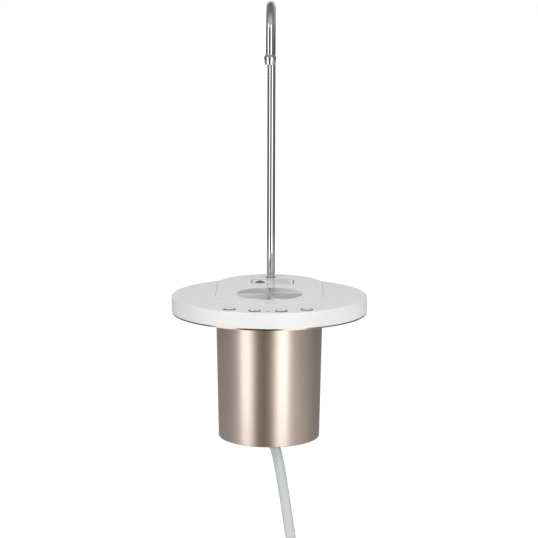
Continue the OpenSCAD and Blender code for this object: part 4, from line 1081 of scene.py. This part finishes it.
def ray_kinds(tree):
    """Two flags: one for camera rays and rays through a piece, and one for glossy rays."""
    rays = place(tree, "ShaderNodeLightPath").outputs
    seen = calculate(tree, "MAXIMUM", rays["Is Camera Ray"], rays["Is Transmission Ray"])
    return seen, rays["Is Glossy Ray"]


world = bpy.data.worlds.new("studio")
bpy.context.scene.world = world
world.use_nodes = True
tree = world.node_tree
seen, glossy = ray_kinds(tree)
direction = place(tree, "ShaderNodeTexCoord").outputs["Generated"]
towards = place(tree, "ShaderNodeSeparateXYZ", Vector=direction).outputs
sides = smooth_step(tree, towards["Y"], -0.9, -0.5, FRONT_WALL, SIDE_WALL)
behind = smooth_step(tree, towards["Y"], 0.8, 0.97, 0.0, BACK_WALL_MORE)
walls = calculate(tree, "ADD", sides, behind)
ceiling = smooth_step(tree, towards["Y"], -0.75, 0.15, FRONT_CEILING, BACK_CEILING)
aside = calculate(tree, "ABSOLUTE", towards["X"])
ceiling = calculate(tree, "MULTIPLY", ceiling, smooth_step(tree, aside, 0.05, 0.3, MIDDLE_CEILING, 1.0))
height = smooth_step(tree, towards["Z"], 0.3, 0.7, 0.0, 1.0)
room = mix(tree, height, walls, ceiling)
light = mix(tree, glossy, DIFFUSE_ROOM, room)
level = mix(tree, seen, light, WHITE)
tree.links.new(level, tree.nodes["Background"].inputs["Strength"])
tree.nodes["Background"].inputs["Color"].default_value = (1, 1, 1, 1)
print("nodes in the world:", len(tree.nodes))

# %% [markdown]
# ### The floor
#
# The floor is one large plane just below the hose's end. A sheet of paper that curves up at the back
# would hide its far edge, but the white behind the object does that already.

# %% Lay the floor
FLOOR_Z, FLOOR_REACH, FLOOR_BACK = -0.3635, 20, 40
floor_mesh = bpy.data.meshes.new("floor")
floor_mesh.from_pydata(
    [
        (-FLOOR_REACH, -FLOOR_REACH, FLOOR_Z), (FLOOR_REACH, -FLOOR_REACH, FLOOR_Z),
        (FLOOR_REACH, FLOOR_BACK, FLOOR_Z), (-FLOOR_REACH, FLOOR_BACK, FLOOR_Z),
    ],
    [], [(0, 1, 2, 3)],
)
floor = bpy.data.objects.new("floor", floor_mesh)
bpy.context.scene.collection.objects.link(floor)
print("floor at", FLOOR_Z, "m")

# %% [markdown]
# ### What the floor shows
#
# To the camera the floor is white paper that keeps a soft shadow. To glossy rays it glows with a painted
# reflection of the room, as a polished table would show it: a ramp over the azimuth holds the two boxes,
# the dark gap between them and the grey sides, at full strength within about three metres. Seen from below
# it is clear, so that views from there show the underside.

# %% Give the floor its finish
# The painted reflection of the room on the floor for glossy rays: a radiance at each azimuth.
FLOOR_PAINTED_REFLECTION = [
    (-180, 0.3), (180, 0.3), (-143, (0.39, 0.372, 0.36)), (-115, (0.49, 0.472, 0.46)), (-92, 0.54),
    (-72, 0.58), (-63, 0.66), (-60, 1.3), (-39, 1.3), (-34, (0.18, 0.165, 0.1)),
    (-24, (0.12, 0.11, 0.06)), (4, (0.12, 0.11, 0.06)), (13, (0.2, 0.185, 0.12)), (18, 1.5), (41, 1.5),
    (46, 0.8), (63, 0.8), (86, (0.68, 0.665, 0.65)), (114, (0.45, 0.425, 0.405)),
    (130, (0.35, 0.328, 0.312)),
]
FAR_REFLECTION_GLOW = 0.75
PAPER_NEAR, PAPER_FAR = 0.62, 0.9

paper = bpy.data.materials.new("pale_floor")
paper.use_nodes = True
tree, shader = shader_of(paper)
shader.inputs["Base Color"].default_value = (0.8, 0.8, 0.8, 1)
shader.inputs["Roughness"].default_value = 0.9
shader.inputs["Emission Color"].default_value = (1, 1, 1, 1)
seen, glossy = ray_kinds(tree)
spot = place(tree, "ShaderNodeTexCoord").outputs["Object"]
far = place(tree, "ShaderNodeVectorMath", {"operation": "LENGTH"}, n0=spot).outputs["Value"]
paper_glow = smooth_step(tree, far, 1.0, 6.0, PAPER_NEAR, PAPER_FAR)
glow = calculate(tree, "MULTIPLY", seen, paper_glow)
tree.links.new(glow, shader.inputs["Emission Strength"])

flat = place(tree, "ShaderNodeSeparateXYZ", Vector=spot).outputs
azimuth = calculate(tree, "ARCTAN2", flat["X"], calculate(tree, "MULTIPLY", flat["Y"], -1.0))
turn_share = place(tree, "ShaderNodeMapRange", n0=azimuth, n1=-np.pi, n2=np.pi).outputs[0]
painted_room = place(tree, "ShaderNodeValToRGB", n0=turn_share)
fill_ramp(painted_room, [(degrees / 360 + 0.5, radiance) for degrees, radiance in FLOOR_PAINTED_REFLECTION])
strength = smooth_step(tree, far, 2.9, 3.9, RAMP_TOP, FAR_REFLECTION_GLOW)
# Glossy rays see the floor glow with the painted reflection.
reflection_glow = place(tree, "ShaderNodeEmission", Color=painted_room.outputs[0], Strength=strength).outputs[0]
upper = place(tree, "ShaderNodeMixShader", n0=glossy, n1=shader.outputs[0], n2=reflection_glow).outputs[0]
below = place(tree, "ShaderNodeNewGeometry").outputs["Backfacing"]
clear = place(tree, "ShaderNodeBsdfTransparent").outputs[0]
surface = place(tree, "ShaderNodeMixShader", n0=below, n1=upper, n2=clear).outputs[0]
tree.links.new(surface, tree.nodes["Material Output"].inputs["Surface"])
floor_mesh.materials.append(paper)
print("nodes in the floor's finish:", len(tree.nodes))
bpy.context.scene.view_settings.view_transform = "Standard"
